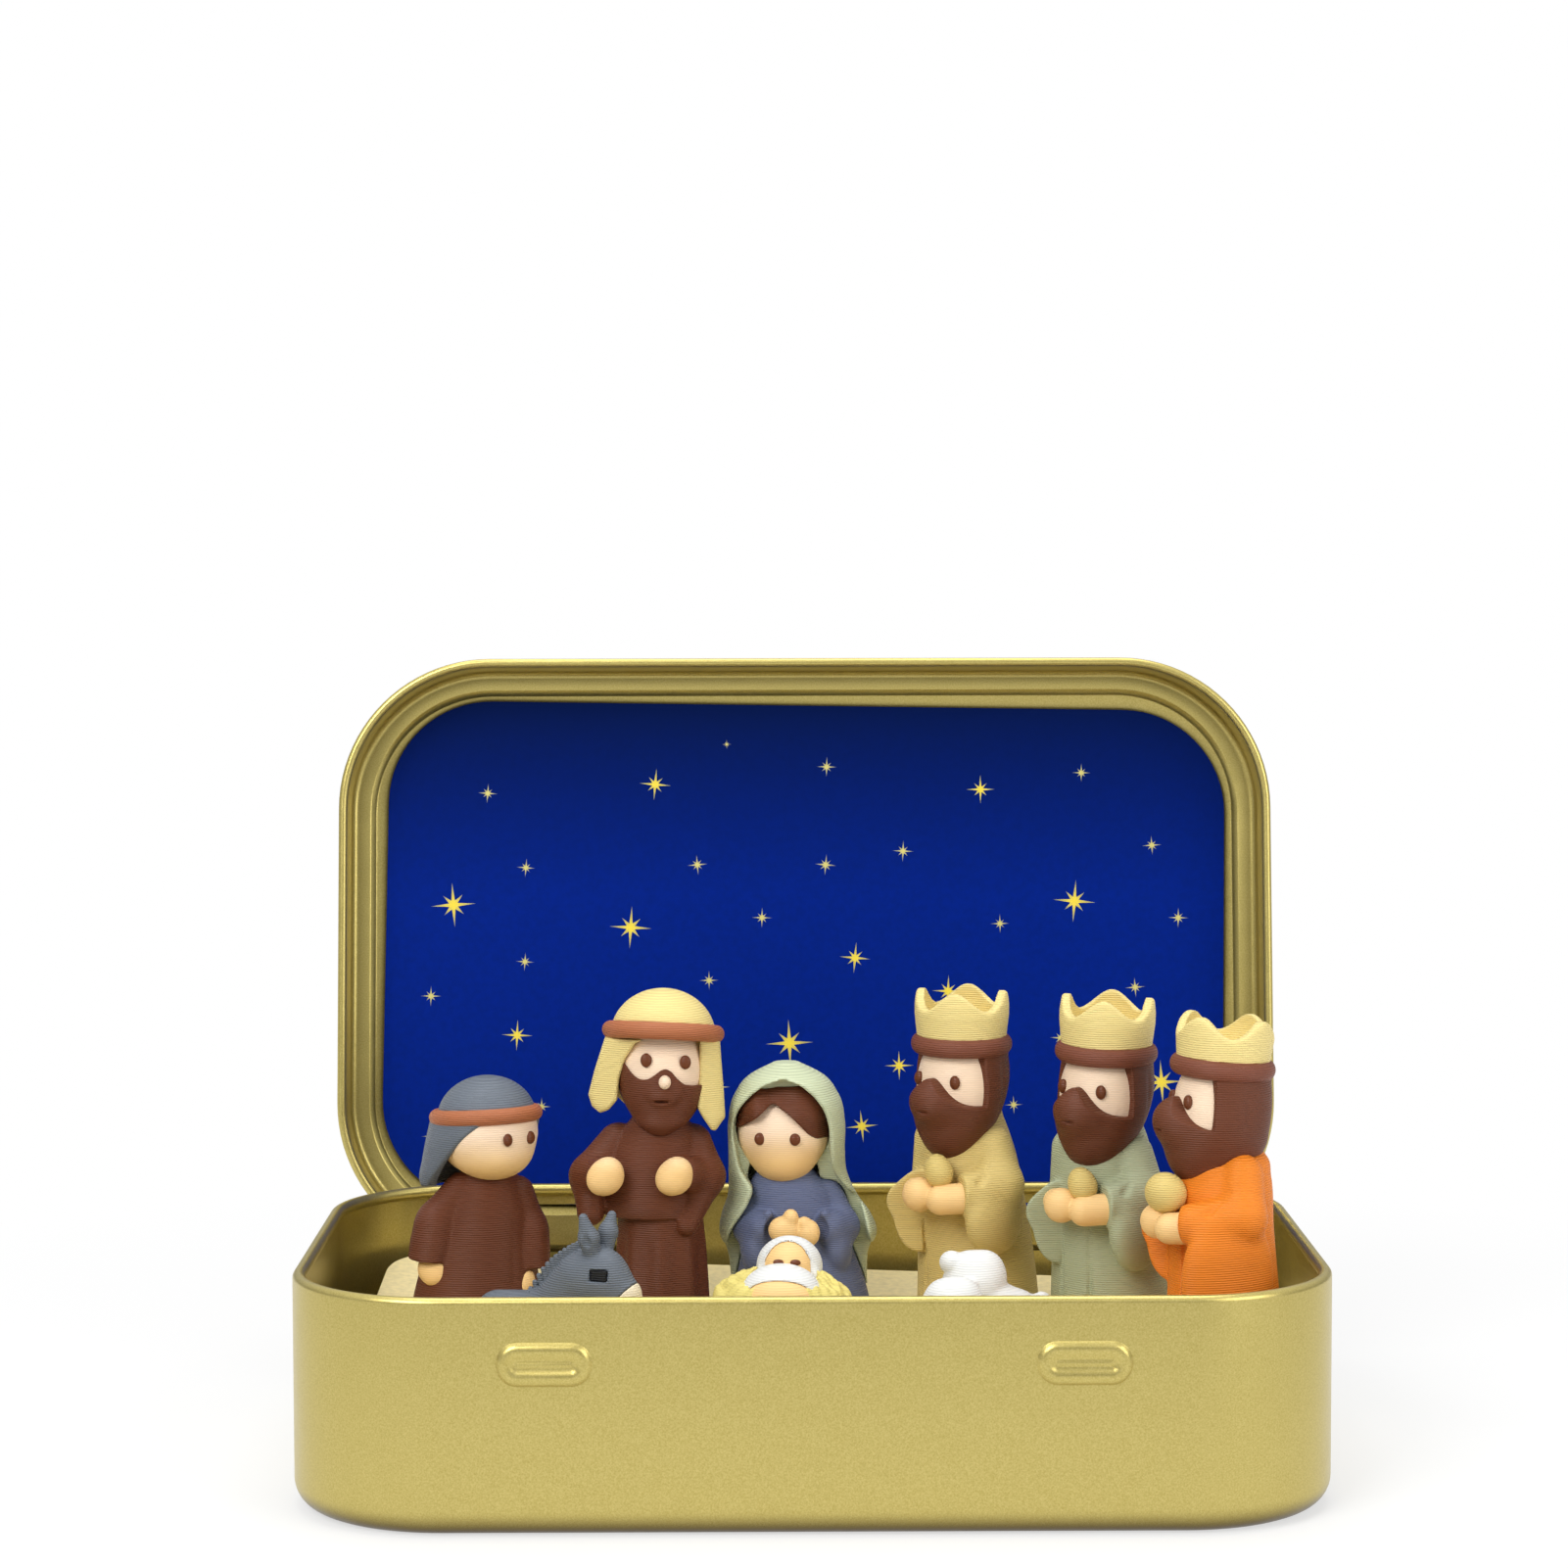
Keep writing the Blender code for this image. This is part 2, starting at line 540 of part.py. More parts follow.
def father():
    """A bearded man with his fists held out, in a long robe with a hanging scarf."""
    root = stand("father", HEM)
    band_z, band_major, band_minor = 27.75, 5.1, 0.68
    robe_rings = [
        (-HEM / MM, 4.2, 4.1), (3.0, 4.1, 4.0), (10.0, 4.0, 3.9), (10.4, 4.8, 4.4, 0.0, -0.6),
        (13.0, 5.0, 4.4, 0.0, -0.9), (16.2, 4.3, 3.9, 0.0, -0.6), (18.4, 3.1, 2.9), (19.6, 2.2, 2.0),
    ]
    right_sleeve = ([(-4.2, 0.3, 16.0), (-6.6, -1.4, 13.2), (-6.0, -2.4, 9.6)], [1.9, 2.4, 1.7])
    left_sleeve = ([(3.0, 0.3, 16.0), (3.9, -1.6, 13.0), (3.4, -2.6, 9.4)], [1.7, 2.0, 1.5])
    head_rings = [
        (19.2, 1.6, 1.6, -0.7), (20.4, 3.2, 3.1, -0.7), (22.0, 3.95, 3.9, -0.6), (24.5, 4.1, 4.0, -0.5),
        (band_z - band_minor - PRINT_GAP / MM, 4.0, 3.9, -0.4),
    ]
    nose = ([(0.0, -3.0, 23.2), (0.0, -4.95, 23.1)], [0.5, 0.62])
    beard_rings = [
        (18.3, 1.1, 0.9, -2.4), (18.9, 2.6, 2.1, -2.0), (20.2, 3.8, 3.3, -1.4), (21.9, 4.3, 4.0, -0.9),
        (23.4, 4.35, 4.2, -0.6),
    ]
    drape_rings = [
        (17.8, 3.6, 3.4, 1.6), (18.8, 5.0, 4.6, 1.2), (22.0, 5.4, 5.1, 0.5), (25.0, 5.5, 5.2, 0.0),
        (band_z - band_minor - PRINT_GAP / MM, 5.3, 5.1, -0.2),
    ]
    right_lobe = ([(-4.9, -1.9, 25.4), (-5.6, -2.3, 22.4), (-6.0, -2.2, 19.6)], [1.0, 1.3, 1.1])
    left_lobe = ([(4.9, -1.7, 25.4), (5.0, -2.1, 21.8), (5.2, -2.0, 18.6)], [0.8, 0.9, 0.85])

    def beard(grow=0.0):
        return stack(beard_rings, grow)

    robe = place("father_robe", stack(robe_rings), root, "brown")
    join(robe, limb(*right_sleeve), limb(*left_sleeve))
    cut(
        robe, head_with_peg(head_rings, PRINT_GAP), beard(PRINT_GAP), stack(drape_rings, PRINT_GAP),
        limb(*right_lobe, grow=PRINT_GAP), limb(*left_lobe, grow=PRINT_GAP),
    )
    join(place("father_head", head_with_peg(head_rings), root, "skin"), limb(*nose))
    chin = place("father_beard", beard(), root, "brown")
    behind = block((-6 * MM, 0.4 * MM, 16 * MM), (6 * MM, 8 * MM, 26 * MM))
    cut(chin, head_with_peg(head_rings, PRINT_GAP), limb(*nose, grow=PRINT_GAP), behind)
    front = block((-8 * MM, -9 * MM, 14 * MM), (8 * MM, -1.6 * MM, 30 * MM))
    scarf = place("father_scarf_drape", stack(drape_rings), root, "pale_yellow")
    cut(scarf, front)
    join(scarf, limb(*right_lobe), limb(*left_lobe))
    cut(
        scarf, head_with_peg(head_rings, PRINT_GAP), beard(PRINT_GAP),
        ring_band(band_z, band_major, band_minor, -0.3, grow=PRINT_GAP),
    )
    dome = [
        (28.75, 5.0, 4.8, -0.3), (29.6, 4.8, 4.6, -0.3), (30.7, 3.7, 3.6, -0.3), (31.5, 1.5, 1.5, -0.3),
    ]
    crown = place("father_scarf_crown", worn_above(band_z, band_minor, 4.15, dome, -0.3), root, "pale_yellow")
    cut(crown, peg_socket(band_z, band_minor, -0.4))
    place("father_headband", ring_band(band_z, band_major, band_minor, -0.3), root, "band_brown")
    right_hand = ((-5.2, -4.6, 14.5), (1.65, 1.6, 1.65))
    left_hand = ((1.4, -4.9, 14.5), (1.7, 1.6, 1.75))
    place("father_right_hand", ball(*right_hand), root, "skin")
    place("father_left_hand", ball(*left_hand), root, "skin")
    cut(robe, ball(*right_hand, PRINT_GAP), ball(*left_hand, PRINT_GAP))


def mother():
    """A kneeling-height woman with joined hands, under a veil that falls to the ground."""
    root = stand("mother", HEM)
    robe_rings = [
        (-HEM / MM, 6.6, 5.3, 0.0, 0.4), (3.0, 5.8, 4.7, 0.0, 0.3), (6.5, 5.0, 4.1, 0.0, 0.1), (9.5, 4.7, 3.9, 0.0, -0.1),
        (11.8, 4.0, 3.4, 0.0, -0.4), (13.2, 2.6, 2.4, 0.0, -0.8), (14.2, 1.7, 1.7, 0.0, -1.0),
    ]
    sleeve = ([(3.0, 0.0, 11.4), (4.3, -1.6, 8.6), (3.1, -3.6, 7.6)], [1.5, 1.9, 1.6])
    head_rings = [
        (13.0, 1.1, 1.0, -1.0, -1.2), (13.7, 2.7, 2.5, -0.9, -1.2), (15.2, 3.9, 3.7, -0.7, -1.2),
        (17.2, 4.3, 4.1, -0.5, -1.2), (19.2, 4.0, 3.9, -0.4, -1.2), (20.8, 3.0, 2.9, -0.3, -1.2),
        (21.6, 1.2, 1.2, -0.3, -1.2),
    ]
    hair_rings = [
        (15.6, 4.2, 4.0, -0.2, -1.2), (17.4, 4.8, 4.7, -0.3, -1.2), (19.6, 4.5, 4.5, -0.3, -1.2),
        (21.2, 3.5, 3.5, -0.3, -1.2), (22.4, 1.6, 1.6, -0.3, -1.2),
    ]
    veil_rings = [
        (-HEM / MM, 7.2, 5.7, 0.8), (5.0, 7.4, 5.6, 0.8), (8.6, 7.8, 5.4, 0.7), (11.4, 6.5, 5.1, 0.6, -0.5),
        (14.0, 5.5, 5.2, 0.4, -1.0), (17.2, 5.6, 5.5, 0.2, -1.2), (20.2, 5.4, 5.3, 0.1, -1.2),
        (22.6, 4.2, 4.2, 0.0, -1.2), (23.9, 2.3, 2.3, -0.1, -1.2), (24.4, 0.7, 0.7, -0.1, -1.2),
    ]
    hands = ([(-2.5, -4.4, 8.5), (-0.5, -5.2, 9.3), (1.6, -4.4, 8.6)], [1.25, 1.4, 1.2])

    def robe_shape(grow=0.0):
        return (stack(robe_rings, grow), limb(*sleeve, grow=grow), limb(mirrored(sleeve[0]), sleeve[1], grow=grow))

    body, right, left = robe_shape()
    robe = place("mother_robe", body, root, "slate_blue")
    join(robe, right, left)
    cut(robe, stack(head_rings, PRINT_GAP), limb(*hands, grow=PRINT_GAP))
    place("mother_head", stack(head_rings), root, "skin")
    hair = place("mother_hair", stack(hair_rings), root, "brown")
    face = turned_block((-7 * MM, -8 * MM, 10 * MM), (7 * MM, 0.0, 30 * MM), (0.0, 17.0 * MM), 18.0)
    cut(hair, face, stack(head_rings, PRINT_GAP))
    veil = place("mother_veil", stack(veil_rings), root, "sage")
    lower_front = block((-9 * MM, -9 * MM, -2 * HEM), (9 * MM, -1.6 * MM, 12.0 * MM))
    face_opening = ball((-1.2, -6.6, 16.6), (4.7, 5.0, 6.1))
    chin_opening = ball((-0.9, -6.6, 12.4), (5.2, 5.0, 3.6))
    cut(
        veil, *robe_shape(PRINT_GAP), stack(head_rings, PRINT_GAP), stack(hair_rings, PRINT_GAP),
        lower_front, face_opening, chin_opening,
    )
    place("mother_hands", limb(*hands), root, "skin")


def wavy_crown(band_z, band_minor, y, peak_z):
    """An open crown with four broad round points, the first a little to the left, its neck filling the headband."""
    neck, foot, lip, wall, points, first_point = 3.45, 4.3, 4.5, 0.75, 4, math.radians(30)
    gap = PRINT_GAP / MM
    foot_z, valley_z = band_z + band_minor + gap, peak_z - 1.7
    steps = 6 * points

    def ring(radius, heights):
        return [
            (
                radius * MM * math.sin(2 * math.pi * k / steps),
                y * MM - radius * MM * math.cos(2 * math.pi * k / steps),
                heights[k] * MM,
            )
            for k in range(steps)
        ]

    def level(height):
        return [height] * steps

    middle, swing = (valley_z + peak_z) / 2, (peak_z - valley_z) / 2
    wave = [middle + swing * math.cos(points * (2 * math.pi * k / steps - first_point)) for k in range(steps)]
    return loft([
        ring(neck, level(band_z - band_minor)),
        ring(neck, level(foot_z)),
        ring(foot, level(foot_z + 0.02)),
        ring(lip, level(valley_z - 0.6)),
        ring(lip, wave),
        ring(lip - wall, wave),
        ring(foot - wall, level(foot_z + 1.0)),
    ])


def king(name, cloth, gift_shape, train, peak_z):
    """A crowned, bearded man in a wide-sleeved cloak with a train, holding a gift out in both hands."""
    root = stand(name, HEM)
    band_z, band_major, band_minor = 25.6, 4.2, 0.7
    robe_rings = [
        (-HEM / MM, 5.5, 5.2, train + 0.3), (5.0, 5.3, 5.0, train * 0.8 + 0.3), (11.0, 5.1, 4.7, train * 0.5 + 0.3),
        (16.2, 4.5, 4.2, train * 0.25 + 0.1), (18.4, 3.6, 3.4), (19.4, 2.4, 2.3),
    ]
    sleeve = ([(3.5, 0.2, 16.4), (4.7, -1.8, 12.6), (4.5, -2.4, 9.0)], [1.8, 2.3, 1.9])
    head_rings = [
        (16.8, 1.5, 1.4, -0.8), (18.2, 3.2, 3.1, -0.8), (20.0, 3.95, 3.9, -0.6), (22.5, 4.1, 4.0, -0.5),
        (band_z - band_minor - PRINT_GAP / MM, 3.95, 3.9, -0.4),
    ]
    hair_rings = [
        (15.4, 1.7, 1.2, -2.5), (16.3, 3.0, 2.5, -1.9), (18.0, 4.2, 4.0, -1.1), (20.2, 4.75, 4.8, -0.5),
        (22.6, 4.8, 4.85, -0.2), (band_z - band_minor - PRINT_GAP / MM, 4.45, 4.5, -0.2),
    ]
    hands = ([(-2.9, -4.5, 11.9), (0.0, -5.9, 11.6), (2.9, -4.5, 11.9)], [1.35, 1.3, 1.35])

    robe = place(f"{name}_robe", stack(robe_rings), root, cloth)
    join(robe, limb(*sleeve), limb(mirrored(sleeve[0]), sleeve[1]))
    cut(
        robe, head_with_peg(head_rings, PRINT_GAP), stack(hair_rings, PRINT_GAP), limb(*hands, grow=PRINT_GAP),
    )
    place(f"{name}_head", head_with_peg(head_rings), root, "skin")
    hair = place(f"{name}_hair_and_beard", stack(hair_rings), root, "brown")
    face = block((-3.7 * MM, -9 * MM, 20.8 * MM), (3.7 * MM, -1.4 * MM, 28 * MM))
    cut(hair, head_with_peg(head_rings, PRINT_GAP), face)
    place(f"{name}_headband", ring_band(band_z, band_major, band_minor, -0.4), root, "band_brown")
    crown = place(f"{name}_crown", wavy_crown(band_z, band_minor, -0.4, peak_z), root, "pale_yellow")
    cut(crown, peg_socket(band_z, band_minor, -0.4))
    place(f"{name}_hands", limb(*hands), root, "skin")
    place(f"{name}_gift", gift_shape, root, "dull_gold")


def drop_gift():
    """An egg-shaped jar that leans forwards."""
    return stack([
        (13.1, 0.7, 0.7, -5.8), (13.5, 1.2, 1.2, -5.85), (14.3, 1.4, 1.4, -5.95), (15.2, 1.1, 1.1, -6.05),
        (16.1, 0.35, 0.35, -6.2),
    ], steps=10)


def ball_gift():
    """A round jar."""
    return ball((0.0, -6.5, 15.05), (1.9, 1.9, 1.9))


# Animals and manger

def donkey():
    """A stocky donkey facing +X, with a lowered head, upright ears, a short mane and a pale muzzle."""
    root = stand("donkey")
    muzzle = ((9.3, 0.0, 5.6), (1.5, 1.6, 1.35))
    barrel = limb([(-3.3, 0, 3.75), (-1.0, 0, 3.7), (1.6, 0, 3.9)], [2.4, 2.3, 2.4])
    body = place("donkey_body", barrel, root, "slate")
    join(
        body,
        limb([(1.2, 0, 4.6), (4.4, 0, 7.6)], [2.35, 2.3]),
        limb([(5.0, 0, 8.15), (7.2, 0, 7.9), (8.6, 0, 6.9)], [2.25, 2.2, 1.6]),
        limb([(-0.6, 0, 5.9), (1.5, 0, 8.4), (4.0, 0, 9.9)], [0.6, 0.75, 0.7]),
        limb([(5.2, -1.1, 9.6), (5.5, -1.9, 12.6)], [0.85, 0.7]),
        limb([(6.3, 1.1, 9.6), (6.6, 1.9, 12.7)], [0.85, 0.7]),
    )
    for side in (-1, 1):
        join(
            body,
            limb([(-3.9, side * 1.3, 3.2), (-4.0, side * 1.4, 0.9)], [1.2, 1.05]),
            limb([(2.2, side * 1.3, 3.4), (2.4, side * 1.4, 0.9)], [1.2, 1.05]),
        )
    cut(body, ball(*muzzle, grow=PRINT_GAP))
    floor = block((-12 * MM, -6 * MM, -6 * MM), (12 * MM, 6 * MM, 0.0))
    cut(body, floor)
    place("donkey_muzzle", ball(*muzzle), root, "cream")


# What of the baby rests in the hay, each (centre, radii)
BABY_FACE = ((0.45, 1.9, 8.2), (2.45, 2.4, 2.4))
BABY_CAP = ((0.45, 2.6, 8.0), (3.05, 2.75, 2.85))
BABY_CLOTH = ((0.15, -1.7, 7.2), (3.0, 2.9, 1.75))
BABY_BODY = ([(0.4, 1.0, 7.6), (-0.1, -4.0, 6.7)], [1.0, 1.2])


def manger():
    """A rounded crib on splayed legs with a bed of hay, the long way towards the viewer."""
    root = stand("manger")
    hay_rings = [
        (3.2, 3.3, 4.0), (4.5, 4.3, 4.9), (4.7, 6.0, 5.9), (5.4, 6.5, 6.3), (6.5, 5.7, 5.7), (7.5, 4.6, 4.8),
        (7.9, 3.7, 4.0),
    ]
    crib_rings = [
        [(3.2, 3.9), 1.7], [(5.0, 5.6), 4.5],
    ]
    rings = []
    for (half_x, half_y), height in crib_rings:
        outline = rounded_outline(2 * half_x * MM, 2 * half_y * MM, 1.4 * MM, 3)
        rings.append([(x, y, height * MM) for x, y in outline])
    crib = place("manger_crib", loft(rings), root, "brown")
    for side_x in (-1, 1):
        for side_y in (-1, 1):
            join(crib, limb(
                [(side_x * 2.8, side_y * 3.2, 2.6), (side_x * 3.9, side_y * 4.3, 0.8)], [0.95, 0.85]
            ))
    cut(crib, stack(hay_rings, PRINT_GAP), block((-9 * MM, -9 * MM, -4 * MM), (9 * MM, 9 * MM, 0.0)))
    hay = place("manger_hay", stack(hay_rings), root, "hay")
    turn = Matrix.Rotation(PLACES["baby"][2] - PLACES["manger"][2], 3, "Z")
    for shape in (ball(*BABY_CAP, STAND_GAP), ball(*BABY_CLOTH, STAND_GAP), limb(*BABY_BODY, STAND_GAP)):
        bmesh.ops.rotate(shape, verts=shape.verts, matrix=turn)
        cut(hay, shape)


def baby():
    """The baby lies on the hay, head to the back, wrapped in a cloth and a cap."""
    root = stand("baby")
    body = place("baby_body", ball(*BABY_FACE), root, "skin")
    join(body, limb(*BABY_BODY))
    wrap = place("baby_cloth", ball(*BABY_CLOTH), root, "white")
    cap = place("baby_cap", ball(*BABY_CAP, segments=12, rings=8), root, "white")
    for piece in (wrap, cap):
        cut(piece, ball(*BABY_FACE, PRINT_GAP), limb(*BABY_BODY, PRINT_GAP))
    before_cap = turned_block((-4 * MM, -6 * MM, 3 * MM), (4 * MM, 1.9 * MM, 14 * MM), (1.9 * MM, 8.2 * MM), -12.0)
    cut(cap, before_cap)
    cut(wrap, ball(*BABY_CAP, PRINT_GAP))


def sheep(name):
    """A woolly sheep facing -X, its round head higher than its back."""
    root = stand(name)
    body = place(name, ball((1.0, 0.0, 3.3), (3.6, 3.0, 2.5)), root, "white")
    join(
        body,
        ball((-2.3, 0.0, 6.6), (2.8, 2.7, 2.8)),
        ball((-2.1, 0.0, 8.9), (1.5, 1.4, 0.95)),
        ball((-4.6, 0.0, 5.7), (1.2, 1.3, 1.25)),
        ball((4.4, 0.0, 4.2), (0.9, 0.9, 0.9)),
    )
    for leg_x in (-1.0, 3.0):
        for side in (-1, 1):
            join(body, limb([(leg_x, side * 1.4, 2.2), (leg_x, side * 1.5, 0.7)], [1.05, 0.95]))
    cut(body, block((-12 * MM, -6 * MM, -6 * MM), (12 * MM, 6 * MM, 0.0)))


clear_scene()
parts = new_collection("pocket_nativity_tin")
helpers = new_collection("helpers")
tin_base()
star_card(tin_lid())
stage_card()
shepherd()
father()
mother()
king("tan_king", "tan", drop_gift(), 1.8, 31.2)
king("green_king", "pale_green", drop_gift(), 1.2, 31.3)
king("orange_king", "orange", ball_gift(), 0.2, 30.7)
donkey()
manger()
baby()
sheep("left_sheep")
sheep("right_sheep")
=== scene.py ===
"""Looks of the pocket nativity tin: lacquered sheet metal, printed cards and figures with layer lines.

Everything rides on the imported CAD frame. Figure shapes are signed distance fields in millimetres, in each
figure's own space (facing -Y, feet at z = 0), meshed by surface nets and placed on its stand.
"""

import math
import random

import bmesh
import bpy
import numpy as np
from mathutils import Matrix, Vector


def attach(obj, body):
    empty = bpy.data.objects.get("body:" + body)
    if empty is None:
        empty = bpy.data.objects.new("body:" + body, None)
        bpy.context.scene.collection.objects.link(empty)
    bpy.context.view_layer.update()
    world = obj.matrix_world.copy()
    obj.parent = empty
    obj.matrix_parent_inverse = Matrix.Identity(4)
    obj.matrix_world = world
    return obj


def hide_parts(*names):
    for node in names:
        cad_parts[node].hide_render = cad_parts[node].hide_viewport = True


MM = 0.001
COARSENESS = 1.0

# The CAD model's own sizes, in millimetres
TIN_LENGTH, TIN_DEPTH, TIN_HEIGHT, TIN_CORNER = 95.0, 59.6, 21.5, 14.5
SHEET, FOOT_RADIUS, RIM_RADIUS = 0.45, 2.6, 0.6
PIVOT_Y, PIVOT_Z = TIN_DEPTH / 2 - SHEET / 2, TIN_HEIGHT - 6.05
OPEN_ANGLE = math.radians(98.0)
CATCH_X, CATCH_Z, CATCH_LENGTH, CATCH_HEIGHT, CATCH_CORNER = 23.8, 15.6, 8.1, 3.6, 1.7
HINGE_X, WINDOW_HALF, TAB_HALF, TAB_SHEET = 23.5, 6.5, 5.8, 0.35
LID_GAP, LID_CURL, LID_SHEET, LID_SHOULDER, LID_SKIRT = 0.25, 0.45, 0.3, 1.0, 6.0
LID_CEILING, PANEL_RISE = TIN_HEIGHT + 0.1, 0.8
STAR_CARD = (88.4, 52.9, 10.8)  # length, depth, corner radius
STAR_CARD_TURN, STAR_CARD_SHEET, STAR_CARD_GAP = math.radians(0.9), 0.4, 0.3
STAGE_CARD = (87.0, 52.0, 6.0)
STAGE_X, STAGE_Y, STAGE_SHEET, STAGE_TOP = 1.0, -0.5, 0.5, 12.0
FEET = STAGE_TOP + 0.2
HEM = 1.0  # people are modelled about a point this far above their hems
PEOPLE = ("shepherd", "father", "mother", "tan_king", "green_king", "orange_king")

# Pressed into the front wall, as how far inside the catch's outline and how far proud of the wall
CATCH_PROFILE = (
    (-0.25, -0.05), (-0.1, 0.06), (0.05, 0.26), (0.35, 0.4), (0.75, 0.43), (1.1, 0.3), (1.4, 0.12),
    (1.58, 0.12), (1.68, 0.2),
)
CURL_RISE = 3.4  # of the stage card's back left corner

# Where each figure stands and how far it is turned to its left, in millimetres and degrees
PLACES = {
    "shepherd": (-30.8, 2.0, 27.0),
    "father": (-14.5, 3.4, 0.0),
    "mother": (-1.3, 6.2, 0.0),
    "tan_king": (14.55, 5.0, -38.0),
    "green_king": (27.55, -1.0, -36.0),
    "orange_king": (37.55, -11.6, -60.0),
    "donkey": (-25.2, -10.4, -22.0),
    "manger": (-2.6, -10.4, 0.0),
    "baby": (-2.6, -10.4, -6.0),
    "left_sheep": (14.5, -16.3, 10.0),
    "right_sheep": (17.1, -8.0, 4.0),
}

# The photograph's width and its camera's focal length in pixels, and where that camera was: X, Y and Z in
# millimetres, and pitch, yaw and roll in degrees
PHOTO_SIDE, PHOTO_FOCAL = 1601.0, 3919.9
CAMERA_PLACE, CAMERA_TURN = (-4.62, -363.13, 89.28), (-3.873, -0.349, -0.124)
SENSOR = 36.0
TINY = 1e-9
CURVE_SAMPLES = 240

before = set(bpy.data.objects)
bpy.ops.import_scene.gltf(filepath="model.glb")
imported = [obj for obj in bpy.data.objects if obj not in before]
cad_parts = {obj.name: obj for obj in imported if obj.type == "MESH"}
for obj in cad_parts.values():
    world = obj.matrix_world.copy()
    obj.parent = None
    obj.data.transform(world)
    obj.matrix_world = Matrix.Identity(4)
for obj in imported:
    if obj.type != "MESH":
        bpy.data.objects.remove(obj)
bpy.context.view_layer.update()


# Signed distance fields: functions of x, y, z arrays in millimetres, negative inside

def smooth_curve(knots, values):
    """A smooth function through (knot, value) points, held flat beyond the ends."""
    knots = np.array(knots, float)
    values = np.array(values, float)
    slopes = np.gradient(values, knots)
    dense = np.linspace(knots[0], knots[-1], CURVE_SAMPLES)
    index = np.clip(np.searchsorted(knots, dense) - 1, 0, len(knots) - 2)
    width = knots[index + 1] - knots[index]
    t = (dense - knots[index]) / width
    out = (
        (2 * t**3 - 3 * t**2 + 1) * values[index]
        + (t**3 - 2 * t**2 + t) * width * slopes[index]
        + (3 * t**2 - 2 * t**3) * values[index + 1]
        + (t**3 - t**2) * width * slopes[index + 1]
    )
    return lambda z: np.interp(z, dense, out)


def egg(centre, radii):
    """An ellipsoid."""
    cx, cy, cz = centre
    rx, ry, rz = radii

    def field(x, y, z):
        a, b, c = (x - cx) / rx, (y - cy) / ry, (z - cz) / rz
        near = np.sqrt(a * a + b * b + c * c) + TINY
        steep = np.sqrt((a / rx) ** 2 + (b / ry) ** 2 + (c / rz) ** 2) + TINY
        return near * (near - 1) / steep

    return field


def bar(start, end, start_radius, end_radius=None):
    """A round bar whose radius runs evenly from one end to the other."""
    ax, ay, az = start
    dx, dy, dz = (b - a for a, b in zip(start, end))
    length = dx * dx + dy * dy + dz * dz
    end_radius = start_radius if end_radius is None else end_radius

    def field(x, y, z):
        px, py, pz = x - ax, y - ay, z - az
        t = np.clip((px * dx + py * dy + pz * dz) / length, 0, 1)
        away = np.sqrt((px - t * dx) ** 2 + (py - t * dy) ** 2 + (pz - t * dz) ** 2)
        return away - (start_radius + (end_radius - start_radius) * t)

    return field


def column(rings, wrinkle=None):
    """Ellipses at heights, each (z, half width, half depth, y, x), with flat ends."""
    rings = [tuple(ring) + (0.0,) * (5 - len(ring)) for ring in rings]
    heights = [ring[0] for ring in rings]
    width, depth, middle_y, middle_x = (
        smooth_curve(heights, [ring[k] for ring in rings]) for k in (1, 2, 3, 4)
    )
    low, high = heights[0], heights[-1]

    def field(x, y, z):
        rx, ry = width(z), depth(z)
        u, v = (x - middle_x(z)) / rx, (y - middle_y(z)) / ry
        ring = (np.sqrt(u * u + v * v) - 1) * np.minimum(rx, ry)
        if wrinkle:
            ring = ring - wrinkle(np.arctan2(u, -v), z)
        return np.maximum(ring, np.maximum(low - z, z - high))

    return field


def hoop(height, major, minor, middle_y=0.0, squash=1.0):
    """A level ring, its section stretched upwards by squash."""
    def field(x, y, z):
        ring = np.sqrt(x * x + (y - middle_y) ** 2) - major
        return np.sqrt(ring**2 + ((z - height) / squash) ** 2) - minor

    return field


def slab(low, high, round_by=0.0):
    """A box with round edges."""
    centre = [(a + b) / 2 for a, b in zip(low, high)]
    half = [(b - a) / 2 - round_by for a, b in zip(low, high)]

    def field(x, y, z):
        parts = [np.abs(value - c) - h for value, c, h in zip((x, y, z), centre, half)]
        outside = np.sqrt(sum(np.maximum(part, 0) ** 2 for part in parts))
        inside = np.minimum(np.maximum(np.maximum(parts[0], parts[1]), parts[2]), 0)
        return outside + inside - round_by

    return field


def soft_min(a, b, k):
    """The smaller of two values, rounded off where they are about equal."""
    h = np.clip(0.5 + 0.5 * (b - a) / k, 0, 1)
    return b * (1 - h) + a * h - k * h * (1 - h)


def soft_max(a, b, k):
    return -soft_min(-a, -b, k)


def meld(k, *fields):
    """A union whose creases are filled to about k."""
    def field(x, y, z):
        total = fields[0](x, y, z)
        for other in fields[1:]:
            total = soft_min(total, other(x, y, z), k)
        return total

    return field


def both(k, *fields):
    """The space that all fields share, with edges rounded to about k."""
    inverse = meld(k, *[lambda x, y, z, f=f: -f(x, y, z) for f in fields])
    return lambda x, y, z: -inverse(x, y, z)


def carve(k, body, *tools):
    """A body less its tools, with edges rounded to about k."""
    return both(k, body, *[lambda x, y, z, f=f: -f(x, y, z) for f in tools])


def grown(by, body):
    return lambda x, y, z: body(x, y, z) - by


